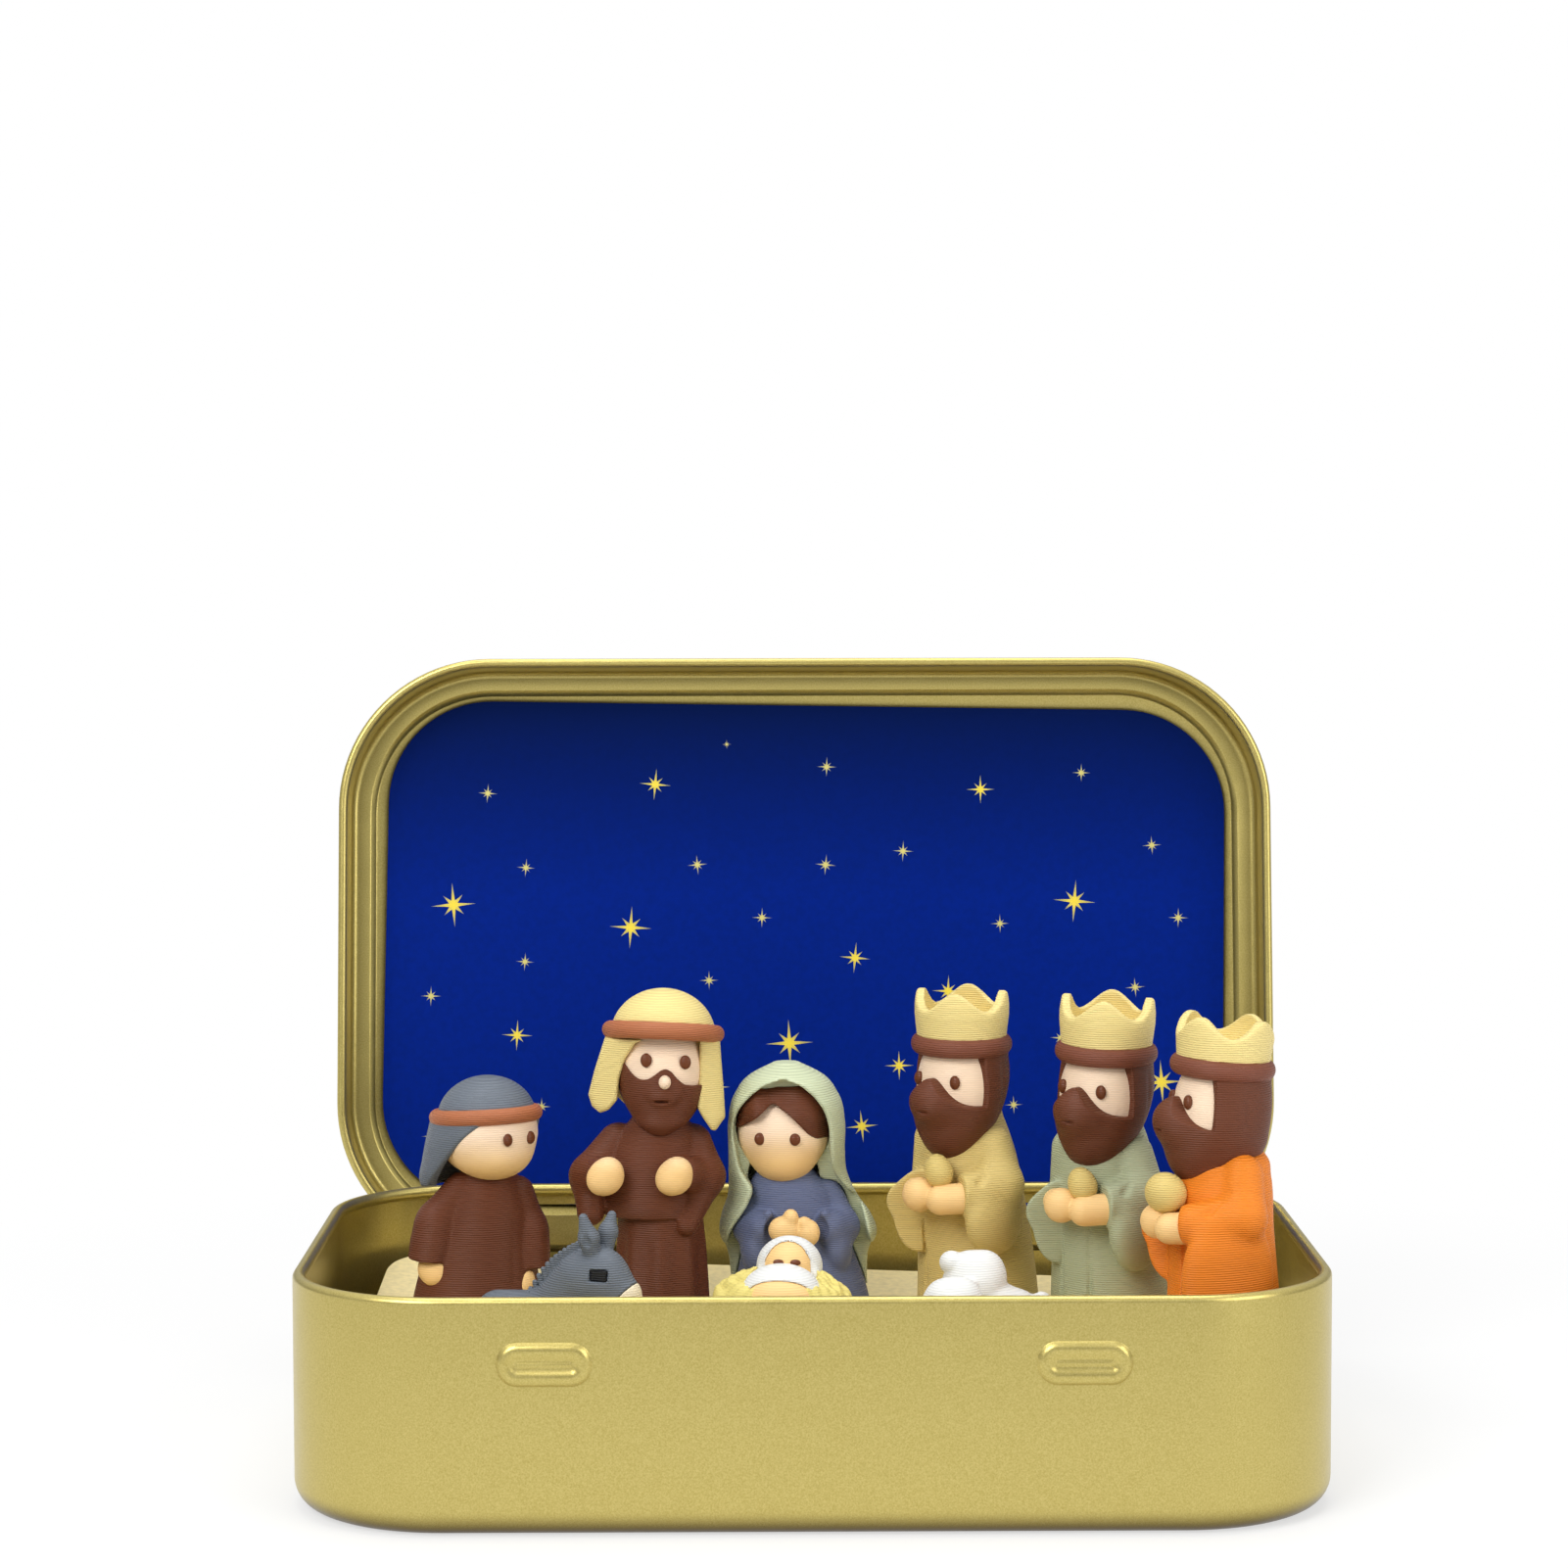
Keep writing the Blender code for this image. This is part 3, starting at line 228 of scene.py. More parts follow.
def tipped(body, pivot=(0, 0, 0), pitch=0.0, roll=0.0, yaw=0.0, shift=(0, 0, 0)):
    """A field turned round a pivot, about X, Y and then Z, in degrees, and then moved."""
    turn = Matrix.Rotation(math.radians(yaw), 3, "Z") @ Matrix.Rotation(math.radians(roll), 3, "Y")
    turn = turn @ Matrix.Rotation(math.radians(pitch), 3, "X")
    back = np.array(turn.inverted())
    px, py, pz = pivot

    def field(x, y, z):
        a, b, c = x - px - shift[0], y - py - shift[1], z - pz - shift[2]
        return body(*(row[0] * a + row[1] * b + row[2] * c + p for row, p in zip(back, (px, py, pz))))

    return field


def turned(field, *turns):
    """A field put through several turns, each the settings of tipped."""
    for turn in turns:
        field = tipped(field, **turn)
    return field


def above(height):
    return lambda x, y, z: height - z + 0 * x + 0 * y


def below(height):
    return lambda x, y, z: z - height + 0 * x + 0 * y


def mirrored(field):
    return lambda x, y, z: field(np.abs(x), y, z)


def mirrored_y(field):
    return lambda x, y, z: field(x, np.abs(y), z)


def patch(points, middle, half, soft=0.3):
    """A sheet of even thickness whose outline, seen from the front, is a polygon of (x, z) points."""
    def field(x, y, z):
        near = np.full(np.broadcast(x, z).shape, np.inf)
        inside = np.zeros(near.shape, bool)
        for (ax, az), (bx, bz) in zip(points, points[1:] + points[:1]):
            ex, ez = bx - ax, bz - az
            wx, wz = x - ax, z - az
            along = np.clip((wx * ex + wz * ez) / (ex * ex + ez * ez), 0, 1)
            near = np.minimum(near, (wx - along * ex) ** 2 + (wz - along * ez) ** 2)
            crosses = ((az > z) != (bz > z)) & (wx < ex * wz / (ez if ez else TINY))
            inside = inside ^ crosses
        flat = np.where(inside, -1.0, 1.0) * np.sqrt(near)
        return soft_max(flat, np.abs(y - middle(x, z)) - half, soft)

    return field


# Surface nets: each vertex is pulled onto the surface in a few rounds, by no more than a part of a cell each
PULL_ROUNDS, LONGEST_PULL, PROBE = 3, 0.4, 0.02


def net(field, low, high, step):
    """Vertices in millimetres and quads of the surface where the field is 0."""
    axes = [np.arange(a - 2 * step, b + 3 * step, step) for a, b in zip(low, high)]
    shape = [len(axis) for axis in axes]
    grid = (axes[0][:, None, None], axes[1][None, :, None], axes[2][None, None, :])
    value = np.ascontiguousarray(np.broadcast_to(field(*grid), shape))
    inside = value < 0
    cells = int(np.prod(shape))
    strides = np.array([shape[1] * shape[2], shape[2], 1])
    total = np.zeros((cells, 3))
    count = np.zeros(cells)
    quads = []
    for axis in range(3):
        one = [slice(None)] * 3
        two = [slice(None)] * 3
        one[axis], two[axis] = slice(0, -1), slice(1, None)
        first, second = inside[tuple(one)], inside[tuple(two)]
        at = np.argwhere(first != second)
        here = at @ strides
        near, far = value.reshape(-1)[here], value.reshape(-1)[here + strides[axis]]
        crossing = at.astype(float)
        crossing[:, axis] += near / (near - far)
        others = [k for k in range(3) if k != axis]
        corners = []
        for a, b in ((0, 0), (1, 0), (1, 1), (0, 1)):
            cell = here - a * strides[others[0]] - b * strides[others[1]]
            corners.append(cell)
            for k in range(3):
                total[:, k] += np.bincount(cell, crossing[:, k], cells)
            count += np.bincount(cell, minlength=cells)
        quad = np.stack(corners, 1)
        flip = (near < 0) ^ (axis == 1)
        quad[~flip] = quad[~flip][:, ::-1]
        quads.append(quad)
    used = np.nonzero(count)[0]
    number = np.full(cells, -1)
    number[used] = np.arange(len(used))
    points = total[used] / count[used][:, None] * step + np.array([axis[0] for axis in axes])
    for _ in range(PULL_ROUNDS):
        x, y, z = points.T
        here = field(x, y, z)
        slope = np.stack([
            field(x + PROBE, y, z) - field(x - PROBE, y, z),
            field(x, y + PROBE, z) - field(x, y - PROBE, z),
            field(x, y, z + PROBE) - field(x, y, z - PROBE),
        ], 1) / (2 * PROBE)
        move = -(here / ((slope**2).sum(1) + 1e-3))[:, None] * slope
        length = np.linalg.norm(move, axis=1, keepdims=True)
        points = points + move * np.minimum(1, LONGEST_PULL * step / (length + TINY))
    return points, number[np.concatenate(quads)]


def place_mesh(name, mesh, material):
    mesh.materials.append(material)
    obj = bpy.data.objects.new(name, mesh)
    bpy.context.scene.collection.objects.link(obj)
    return obj


def mesh_object(name, points, faces, material, smooth=True):
    """A piece from points in millimetres and the faces between them."""
    mesh = bpy.data.meshes.new(name)
    mesh.from_pydata((np.asarray(points) * MM).tolist(), [], np.asarray(faces).tolist())
    mesh.validate()
    if smooth:
        mesh.shade_smooth()
    return place_mesh(name, mesh, material)


def stand_matrix(name):
    """From a figure's own space to where it stands."""
    x, y, turn = PLACES[name]
    level = FEET + HEM if name in PEOPLE else FEET
    return Matrix.Translation(Vector((x, y, level)) * MM) @ Matrix.Rotation(math.radians(turn), 4, "Z")


# Materials

def feed(tree, node, inputs):
    """Sets each named input of a node to a value, or links it to another node's output."""
    for key, value in inputs.items():
        if isinstance(value, bpy.types.NodeSocket):
            tree.links.new(value, node.inputs[key])
        else:
            node.inputs[key].default_value = value


def shade(tree, kind, output, inputs=None, **settings):
    """Adds a node with its settings and inputs, and gives back one of its outputs."""
    node = tree.nodes.new(f"ShaderNode{kind}")
    for key, value in settings.items():
        setattr(node, key, value)
    feed(tree, node, inputs or {})
    return node.outputs[output]


def mapped(tree, value, from_low=0.0, from_high=1.0, to_low=0.0, to_high=1.0, **settings):
    """A value moved from one range to another, and held at its ends."""
    return shade(tree, "MapRange", "Result", {
        "Value": value, "From Min": from_low, "From Max": from_high, "To Min": to_low, "To Max": to_high,
    }, **settings)


def mixed(tree, factor, first, second, blend="MIX"):
    """Two colours blended by a factor."""
    return shade(
        tree, "Mix", "Result", {"Factor": factor, "A": first, "B": second}, data_type="RGBA",
        blend_type=blend,
    )


def ramp(tree, factor, low, low_colour, high, high_colour):
    """Colours between two stops."""
    node = tree.nodes.new("ShaderNodeValToRGB")
    for stop, place, colour in zip(node.color_ramp.elements, (low, high), (low_colour, high_colour)):
        stop.position = place
        stop.color = colour
    feed(tree, node, {"Fac": factor})
    return node.outputs["Color"]


def noise(tree, place, scale, detail):
    return shade(tree, "TexNoise", "Fac", {"Vector": place, "Scale": scale, "Detail": detail})


def math_node(tree, operation, *values):
    return shade(tree, "Math", 0, dict(enumerate(values)), operation=operation)


def bump(tree, height, strength, distance):
    return shade(tree, "Bump", 0, {"Strength": strength, "Distance": distance, "Height": height})


def new_material(name):
    """A material with its node tree and its shader."""
    material = bpy.data.materials.new(name)
    material.use_nodes = True
    return material, material.node_tree, material.node_tree.nodes["Principled BSDF"]


def linear(r, g, b):
    """sRGB 0-255 to the linear values that Blender's sockets hold."""
    def one(value):
        value /= 255.0
        return value / 12.92 if value <= 0.04045 else ((value + 0.055) / 1.055) ** 2.4

    return (one(r), one(g), one(b), 1.0)


LAYER, LAYER_WOBBLE = 0.00021, 0.00010  # a print's layer height and how far its lines wander, in metres


def plastic(name, colour, roughness=0.48, lines=1.0, specular=0.3, painted_warm_light=None):
    """Printed plastic: fine layer lines along the print's height, with painted shade in their grooves and a
    faint painted highlight on their ridges, a soft gloss, and an optional painted orange light on the lower
    parts.
    """
    material, tree, shader = new_material(name)
    place = shade(tree, "TexCoord", "Object")
    height = shade(tree, "SeparateXYZ", "Z", {0: place})
    grain = noise(tree, place, 260.0, 3.0)
    wobble = math_node(tree, "MULTIPLY_ADD", grain, LAYER_WOBBLE, height)
    wave = math_node(tree, "SINE", math_node(tree, "MULTIPLY", wobble, 2 * math.pi / LAYER))
    # Painted shade and highlight: the colour darkens by up to 14% in the layer lines' grooves and lightens by
    # 3% on their ridges, in step with the bump
    painted_line_shade = mapped(tree, wave, from_low=-1.0, to_low=1.0 - 0.14 * lines, to_high=1.03)
    base = linear(*colour)
    # Painted light: an orange tint on the lower parts, fading out between the two heights, stands for light
    # reflected up from below
    if painted_warm_light:
        low, high, tint = painted_warm_light
        base = mixed(
            tree, mapped(tree, height, low, high, interpolation_type="SMOOTHSTEP"), linear(*tint), base,
        )
    grey = shade(tree, "CombineColor", 0, {0: painted_line_shade, 1: painted_line_shade, 2: painted_line_shade})
    feed(tree, shader, {
        "Base Color": mixed(tree, 1.0, base, grey, "MULTIPLY"),
        "Roughness": mapped(tree, grain, to_low=roughness - 0.06, to_high=roughness + 0.08),
        "Normal": bump(tree, wave, 0.8 * lines, 0.00003),
        "Specular IOR Level": specular,
    })
    return material


def lacquer(name, colour, dark, hollow, roughness):
    """Satin lacquer on steel: metallic flakes, faint orange peel, a random change in tone, and painted shade
    that darkens the hollows by ambient occlusion.
    """
    material, tree, shader = new_material(name)
    place = shade(tree, "TexCoord", "Object")
    flakes = noise(tree, place, 7000.0, 2.0)
    clouds = noise(tree, place, 500.0, 4.0)
    blend = math_node(tree, "MULTIPLY_ADD", clouds, 0.1, math_node(tree, "MULTIPLY", flakes, 0.9))
    sheen = ramp(tree, blend, 0.25, linear(*dark), 0.7, linear(*colour))
    # Painted shade: where ambient occlusion over 4 mm finds a hollow or corner, the hollow colour is mixed in
    painted_shade_occlusion = shade(tree, "AmbientOcclusion", "AO", {"Distance": 0.004}, samples=8)
    feed(tree, shader, {
        "Base Color": mixed(tree, mapped(tree, painted_shade_occlusion, 0.15, 0.8), linear(*hollow), sheen),
        "Roughness": mapped(tree, clouds, to_low=roughness - 0.05, to_high=roughness + 0.07),
        "Normal": bump(tree, flakes, 0.25, 0.00002),
        "Metallic": 0.8,
    })
    return material


def card(name, colour, roughness, gradient=None):
    """Uncoated card: fine fibres in colour and bump, with optional painted shade that darkens the colour
    towards one end of its length.
    """
    material, tree, shader = new_material(name)
    place = shade(tree, "TexCoord", "Object")
    fibres = noise(tree, place, 1500.0, 5.0)
    base = ramp(tree, fibres, 0.3, linear(*[0.93 * value for value in colour]), 0.65, linear(*colour))
    # Painted shade: the colour runs from its own to the dark tint along the card's Y
    if gradient:
        (start, end), tint = gradient
        along = shade(tree, "SeparateXYZ", "Y", {0: place})
        base = mixed(tree, mapped(tree, along, start, end), base, linear(*tint))
    feed(tree, shader, {
        "Base Color": base,
        "Roughness": roughness,
        "Normal": bump(tree, fibres, 0.15, 0.00002),
        "Specular IOR Level": 0.04,
    })
    return material


def ink(name, layer):
    """Printed yellow: the colour of each point of a star is in the mesh."""
    material, tree, shader = new_material(name)
    tint = shade(tree, "VertexColor", "Color", layer_name=layer)
    feed(tree, shader, {"Base Color": tint, "Roughness": 0.55})
    return material


# The third colour is painted shade, mixed into the lacquer's hollows and corners
GOLD = lacquer("gold_lacquer", (204, 188, 116), (180, 162, 88), (84, 66, 22), 0.3)
# Painted shade: the blue darkens over its last 21 mm away from the hinge, the top edge as the lid stands open
BLUE = card("star_card_blue", (0, 32, 128), 0.6, ((-0.036, -0.057), (0, 18, 66)))
STAR_INK = ink("star_ink", "ink")
CREAM_CARD = card("stage_card_cream", (246, 228, 172), 0.75)

# Printed plastics: colour in sRGB, then where the finish differs from the common one, or painted light is
# added
PLASTICS = {
    "brown": ((104, 55, 32), {}),
    "band": ((176, 106, 68), {}),
    "dark_band": ((124, 70, 50), {}),
    "pale_yellow": ((238, 216, 142), {}),
    # Skin: below 14.5 mm up it takes an orange tint that fades out by 18.5 mm, painted reflected light
    "skin": ((246, 218, 188), {"lines": 0.5, "painted_warm_light": (0.0145, 0.0185, (248, 206, 140))}),
    "slate": ((106, 113, 122), {}),
    "slate_blue": ((104, 113, 144), {}),
    "sage": ((202, 210, 174), {}),
    "tan": ((222, 196, 122), {}),
    "green": ((180, 186, 150), {}),
    "orange": ((240, 134, 34), {}),
    "dull_gold": ((226, 200, 122), {}),
    "hay": ((224, 208, 122), {"roughness": 0.6, "lines": 0.5}),
    "crib": ((112, 54, 28), {}),
    "white": ((232, 233, 230), {"lines": 0.6}),
    "cream": ((236, 222, 190), {"lines": 0.6}),
    "eye": ((104, 54, 26), {"roughness": 0.35, "lines": 0.4}),
    "black": ((16, 18, 22), {"roughness": 0.4, "lines": 0.6}),
}
MATERIALS = {
    key: plastic(f"plastic_{key}", colour, **finish) for key, (colour, finish) in PLASTICS.items()
}


def printed(figure, part, field, low, high, step, plastic_key, detail=False):
    """One printed colour of a figure. It stands for the CAD node of its name unless it is a detail."""
    node = f"{figure}_{part}" if part else figure
    points, faces = net(field, low, high, step * COARSENESS)
    obj = mesh_object(node if detail else f"{node}_print", points, faces, MATERIALS[plastic_key])
    obj.matrix_world = stand_matrix(figure)
    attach(obj, figure)
    if not detail:
        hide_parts(node)
    return obj


# Tin, lid and cards

def loft(rings):
    """A closed skin over rings of points in millimetres."""
    made = bmesh.new()
    rows = [[made.verts.new(Vector(point) * MM) for point in ring] for ring in rings]
    count = len(rows[0])
    for low, high in zip(rows, rows[1:]):
        for i in range(count):
            j = (i + 1) % count
            made.faces.new((low[i], low[j], high[j], high[i]))
    made.faces.new(list(reversed(rows[0])))
    made.faces.new(rows[-1])
    bmesh.ops.recalc_face_normals(made, faces=made.faces)
    return made


def rounded_outline(length, depth, radius, steps):
    points = []
    for corner in range(4):
        side_x = 1 if corner in (0, 3) else -1
        side_y = 1 if corner in (0, 1) else -1
        for step in range(steps + 1):
            angle = math.radians(90.0) * (corner + step / steps)
            points.append((
                side_x * (length / 2 - radius) + radius * math.cos(angle),
                side_y * (depth / 2 - radius) + radius * math.sin(angle),
            ))
    return points


def pressed_sheet(length, depth, radius, profile, steps=22):
    rings = []
    for inset, height in profile:
        outline = rounded_outline(length - 2 * inset, depth - 2 * inset, max(radius - inset, 0.5), steps)
        rings.append([(x, y, height) for x, y in outline])
    return loft(rings)


def arc(centre, radius, start, end, steps):
    angles = [math.radians(start + (end - start) * step / steps) for step in range(steps + 1)]
    return [(centre[0] + radius * math.cos(a), centre[1] + radius * math.sin(a)) for a in angles]


def soften(mesh, angle=30.0):
    """Smooth shading, with edges sharper than an angle in degrees left hard."""
    mesh.shade_smooth()
    mesh.set_sharp_from_angle(angle=math.radians(angle))


def from_bmesh(name, made, material, angle=30.0):
    mesh = bpy.data.meshes.new(name)
    made.to_mesh(mesh)
    made.free()
    soften(mesh, angle)
    return place_mesh(name, mesh, material)


def block(low, high):
    made = bmesh.new()
    bmesh.ops.create_cube(made, size=1.0)
    for vert in made.verts:
        vert.co = Vector([(a + (b - a) * (c + 0.5)) * MM for a, b, c in zip(low, high, vert.co)])
    return made


def cut_out(obj, shapes):
    """Cuts shapes out for good, so that the piece is plain mesh afterwards."""
    helpers = []
    for made in shapes:
        helper = from_bmesh(f"{obj.name}_tool", made, GOLD)
        modifier = obj.modifiers.new("shape", "BOOLEAN")
        modifier.operation = "DIFFERENCE"
        modifier.object = helper
        helpers.append(helper)
    bpy.context.view_layer.update()
    evaluated = obj.evaluated_get(bpy.context.evaluated_depsgraph_get())
    mesh = bpy.data.meshes.new_from_object(evaluated)
    obj.modifiers.clear()
    obj.data = mesh
    for helper in helpers:
        bpy.data.objects.remove(helper, do_unlink=True)
    soften(mesh)


def make_tin_base():
    """The pressed pan with its rolled rim and hinge windows, and the two catches pressed into its front."""
    foot = arc((FOOT_RADIUS, FOOT_RADIUS), FOOT_RADIUS, 270.0, 180.0, 10)
    rim = arc((RIM_RADIUS, TIN_HEIGHT - RIM_RADIUS), RIM_RADIUS, 180.0, -90.0, 20)
    under_rim = [(SHEET, TIN_HEIGHT - 2 * RIM_RADIUS - 0.1)]
    inside = arc((FOOT_RADIUS, FOOT_RADIUS), FOOT_RADIUS - SHEET, 180.0, 270.0, 8)
    base = from_bmesh("tin_base_sheet", pressed_sheet(
        TIN_LENGTH, TIN_DEPTH, TIN_CORNER, foot + rim + under_rim + inside
    ), GOLD)
    corner_reach = math.hypot(SHEET / 2 + LID_GAP + TAB_SHEET, TAB_SHEET)
    low, high = PIVOT_Z - corner_reach - 0.25, TIN_HEIGHT - 2.2
    back = TIN_DEPTH / 2
    cut_out(base, [
        block(
            (side * HINGE_X - WINDOW_HALF, back - 2 * SHEET, low),
            (side * HINGE_X + WINDOW_HALF, back + SHEET, high),
        )
        for side in (-1, 1)
    ])
    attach(base, "tin")
    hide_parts("tin_base")
    for side, name in ((-1, "left_catch"), (1, "right_catch")):
        rings = []
        for inset, proud in CATCH_PROFILE:
            outline = rounded_outline(
                CATCH_LENGTH - 2 * inset, CATCH_HEIGHT - 2 * inset, max(CATCH_CORNER - inset, 0.1), 8,
            )
            rings.append([(side * CATCH_X + x, -back - proud, CATCH_Z + y) for x, y in outline])
        catch = from_bmesh(f"{name}_emboss", loft(rings), GOLD, 60.0)
        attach(catch, "tin")


def lid_matrix():
    return Matrix.Translation((0, PIVOT_Y * MM, PIVOT_Z * MM)) @ Matrix.Rotation(-OPEN_ANGLE, 4, "X")


def lid_profile():
    """The lid's sheet, over the shoulder to the bead and back, as (inset, height), and its lowest height."""
    inner = 2 * LID_CURL
    outer = inner - LID_SHEET
    top = LID_CEILING + LID_SHEET
    skirt_end = top - LID_SKIRT
    inset, slope = 2.55, 0.5
    outside = [
        (inset + slope + 0.12, top + PANEL_RISE), (inset + slope - 0.05, top + PANEL_RISE - 0.06),
        (inset + 0.08, top + 0.08), (inset - 0.12, top),
    ] + arc((outer + LID_SHOULDER, top - LID_SHOULDER), LID_SHOULDER, 90.0, 180.0, 8)
    bead = arc((LID_CURL, skirt_end + LID_CURL), LID_CURL, 60.0, 360.0, 18)
    bead[0] = (outer, bead[0][1])
    bend = LID_SHOULDER - LID_SHEET
    inside = arc((inner + bend, LID_CEILING - bend), bend, 180.0, 90.0, 6) + [
        (inset + LID_SHEET - 0.1, LID_CEILING),
        (inset + LID_SHEET + 0.05, LID_CEILING + 0.08),
        (inset + slope + LID_SHEET - 0.05, LID_CEILING + PANEL_RISE - 0.08),
        (inset + slope + LID_SHEET + 0.1, LID_CEILING + PANEL_RISE),
    ]
    return outside + bead + inside, skirt_end


def make_lid():
    """The pressed lid, open, and the two bent tabs that hinge it."""
    profile, skirt_end = lid_profile()
    reach = LID_GAP + 2 * LID_CURL
    made = pressed_sheet(TIN_LENGTH + 2 * reach, TIN_DEPTH + 2 * reach, TIN_CORNER + reach, profile)
    bmesh.ops.translate(made, vec=Vector((0, -PIVOT_Y, -PIVOT_Z)) * MM, verts=made.verts)
    lid = from_bmesh("tin_lid_sheet", made, GOLD)
    lid.matrix_world = lid_matrix()
    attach(lid, "lid")
    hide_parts("tin_lid")
    skirt_y = SHEET / 2 + LID_GAP
    line = [
        (skirt_y + 0.2, skirt_end - PIVOT_Z + LID_CURL), (skirt_y + 0.2, 0.35), (skirt_y + 0.14, 0.12),
        (skirt_y - 0.02, 0.02), (skirt_y - 0.25, 0.0), (-1.4, 0.0), (-2.0, 0.0), (-2.45, 0.0), (-2.6, 0.0),
    ]
    halves = [TAB_HALF] * 6 + [TAB_HALF - 0.12, TAB_HALF - 0.6, TAB_HALF - 1.2]
    for side, name in ((-1, "left_hinge_tab"), (1, "right_hinge_tab")):
        centre = side * HINGE_X
        rows = []
        for index, ((y, z), width) in enumerate(zip(line, halves)):
            before, after = line[max(index - 1, 0)], line[min(index + 1, len(line) - 1)]
            dy, dz = after[0] - before[0], after[1] - before[1]
            size = math.hypot(dy, dz)
            ny, nz = -dz / size * TAB_SHEET / 2, dy / size * TAB_SHEET / 2
            rows.append([
                (centre - width, y + ny, z + nz), (centre + width, y + ny, z + nz),
                (centre + width, y - ny, z - nz), (centre - width, y - ny, z - nz),
            ])
        tab = from_bmesh(f"{name}_sheet", loft(rows), GOLD, 40.0)
        tab.matrix_world = lid_matrix()
        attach(tab, "lid")


# Stars: where each one's centre is in the photograph, in pixels, and its kind
STARS = [
    (498, 810, "s"), (669, 801, "M"), (844, 783, "s"), (1001, 806, "M"), (1104, 789, "s"), (537, 886, "s"),
    (463, 924, "L"), (644, 947, "L"), (712, 883, "s"), (778, 937, "s"), (843, 883, "s"), (922, 869, "s"),
    (1097, 920, "L"), (1176, 863, "s"), (1021, 943, "s"), (1203, 937, "s"), (873, 978, "M"), (536, 982, "s"),
    (440, 1017, "s"), (724, 1001, "s"), (528, 1057, "M"), (806, 1065, "L"), (918, 1088, "M"),
    (1159, 1008, "s"), (968, 1012, "M"), (1083, 1060, "s"), (1186, 1105, "L"), (553, 1130, "s"),
    (1035, 1128, "s"), (742, 760, "t"), (640, 1090, "s"), (735, 1110, "s"), (1010, 1060, "s"),
    (880, 1150, "M"), (700, 1170, "s"), (440, 1160, "s"),
]


# Kinds of star: how far the long points reach, in millimetres, and the inks of the core and the tips
BRIGHT, FAINT = ((240, 214, 50), (128, 134, 120)), ((212, 200, 110), (70, 88, 130))
STAR_KINDS = {"L": (2.4, *BRIGHT), "M": (1.65, *BRIGHT), "s": (1.1, *FAINT), "t": (0.5, *FAINT)}
STAR_SEED, STAR_CORNERS = 7, 16
SHORT_POINT, WAIST = 0.62, 0.2  # shares of a star's reach
INK_RISE = 0.012


def on_card(px, py, level):
    """Where the photograph's ray through a pixel meets the star card's face, in the lid's own space."""
    eye = bpy.data.objects["camera"].matrix_world
    back = lid_matrix().inverted() @ eye
    start = back.translation / MM
    along = back.to_3x3() @ Vector((px - PHOTO_SIDE / 2, PHOTO_SIDE / 2 - py, -PHOTO_FOCAL))
    spot = start + along * ((level - start.z) / along.z)
    return spot.x, spot.y


def make_star_card():
    """The card lies in the lid's panel, printed with eight-pointed stars."""
    high = LID_CEILING + PANEL_RISE - PIVOT_Z - STAR_CARD_GAP
    low = high - STAR_CARD_SHEET
    c, s = math.cos(STAR_CARD_TURN), math.sin(STAR_CARD_TURN)
    outline = [(c * x - s * y, s * x + c * y - PIVOT_Y) for x, y in rounded_outline(*STAR_CARD, 16)]
    blue = from_bmesh("star_card_print", loft([[(x, y, z) for x, y in outline] for z in (low, high)]), BLUE)
    blue.matrix_world = lid_matrix()
    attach(blue, "lid")
    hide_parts("star_card")

    random.seed(STAR_SEED)
    points, faces, tints = [], [], []
    level = low - INK_RISE
    for px, py, kind in STARS:
        across, along = on_card(px, py, level)
        size, core, tip = STAR_KINDS[kind]
        reach = size * random.uniform(0.92, 1.08)
        spin = random.uniform(-0.1, 0.1)
        start = len(points)
        points.append((across, along, level))
        tints.append(linear(*core))
        for k in range(STAR_CORNERS):
            angle = spin + 2 * math.pi * k / STAR_CORNERS
            share, tint = ((1.0, tip), (WAIST, core), (SHORT_POINT, tip), (WAIST, core))[k % 4]
            radius = reach * share
            points.append((across + radius * math.sin(angle), along + radius * math.cos(angle), level))
            tints.append(linear(*tint))
            faces.append((start, start + 1 + k, start + 1 + (k + 1) % STAR_CORNERS))
    stars = mesh_object("star_print", points, faces, STAR_INK, smooth=False)
    colours = stars.data.color_attributes.new("ink", "FLOAT_COLOR", "POINT")
    for index, tint in enumerate(tints):
        colours.data[index].color = tint
    stars.matrix_world = lid_matrix()
    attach(stars, "lid")


def curled(x, y, z):
    """A point of the stage card, raised where the back left corner has curled up."""
    left, back = min(max((-x - 16.0) / 26.0, 0), 1), min(max((y + 6.0) / 31.0, 0), 1)
    return (x, y, z + CURL_RISE * left * back * back)


def make_stage_card():
    """The card that the figures stand on, with a folded flap at each short end."""
    insets = (22.0, 16.0, 11.0, 7.0, 4.0, 2.0, 0.8, 0.1)
    low = STAGE_TOP - STAGE_SHEET
    sides = [(inset, low) for inset in insets] + [(0.0, low + 0.1), (0.0, STAGE_TOP - 0.1)]
    sides += [(inset, STAGE_TOP) for inset in reversed(insets)]
    length, depth, corner = STAGE_CARD
    rings = []
    for inset, z in sides:
        outline = rounded_outline(length - 2 * inset, depth - 2 * inset, max(corner - inset, 0.4), 14)
        rings.append([curled(x + STAGE_X, y + STAGE_Y, z) for x, y in outline])
    stage = from_bmesh("stage_card_top", loft(rings), CREAM_CARD)
    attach(stage, "stage")
    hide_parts("stage_card")
    for side, name in ((-1, "left_flap"), (1, "right_flap")):
        outer = STAGE_X + side * 43.48
        inner = outer - side * STAGE_SHEET
        made = block((min(outer, inner), -15.5, 0.75), (max(outer, inner), 14.5, STAGE_TOP - 0.25))
        flap = from_bmesh(f"stage_card_{name}", made, CREAM_CARD)
        modifier = flap.modifiers.new("edge", "BEVEL")
        modifier.width = 0.00008
        modifier.segments = 2
        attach(flap, "stage")


# Figures

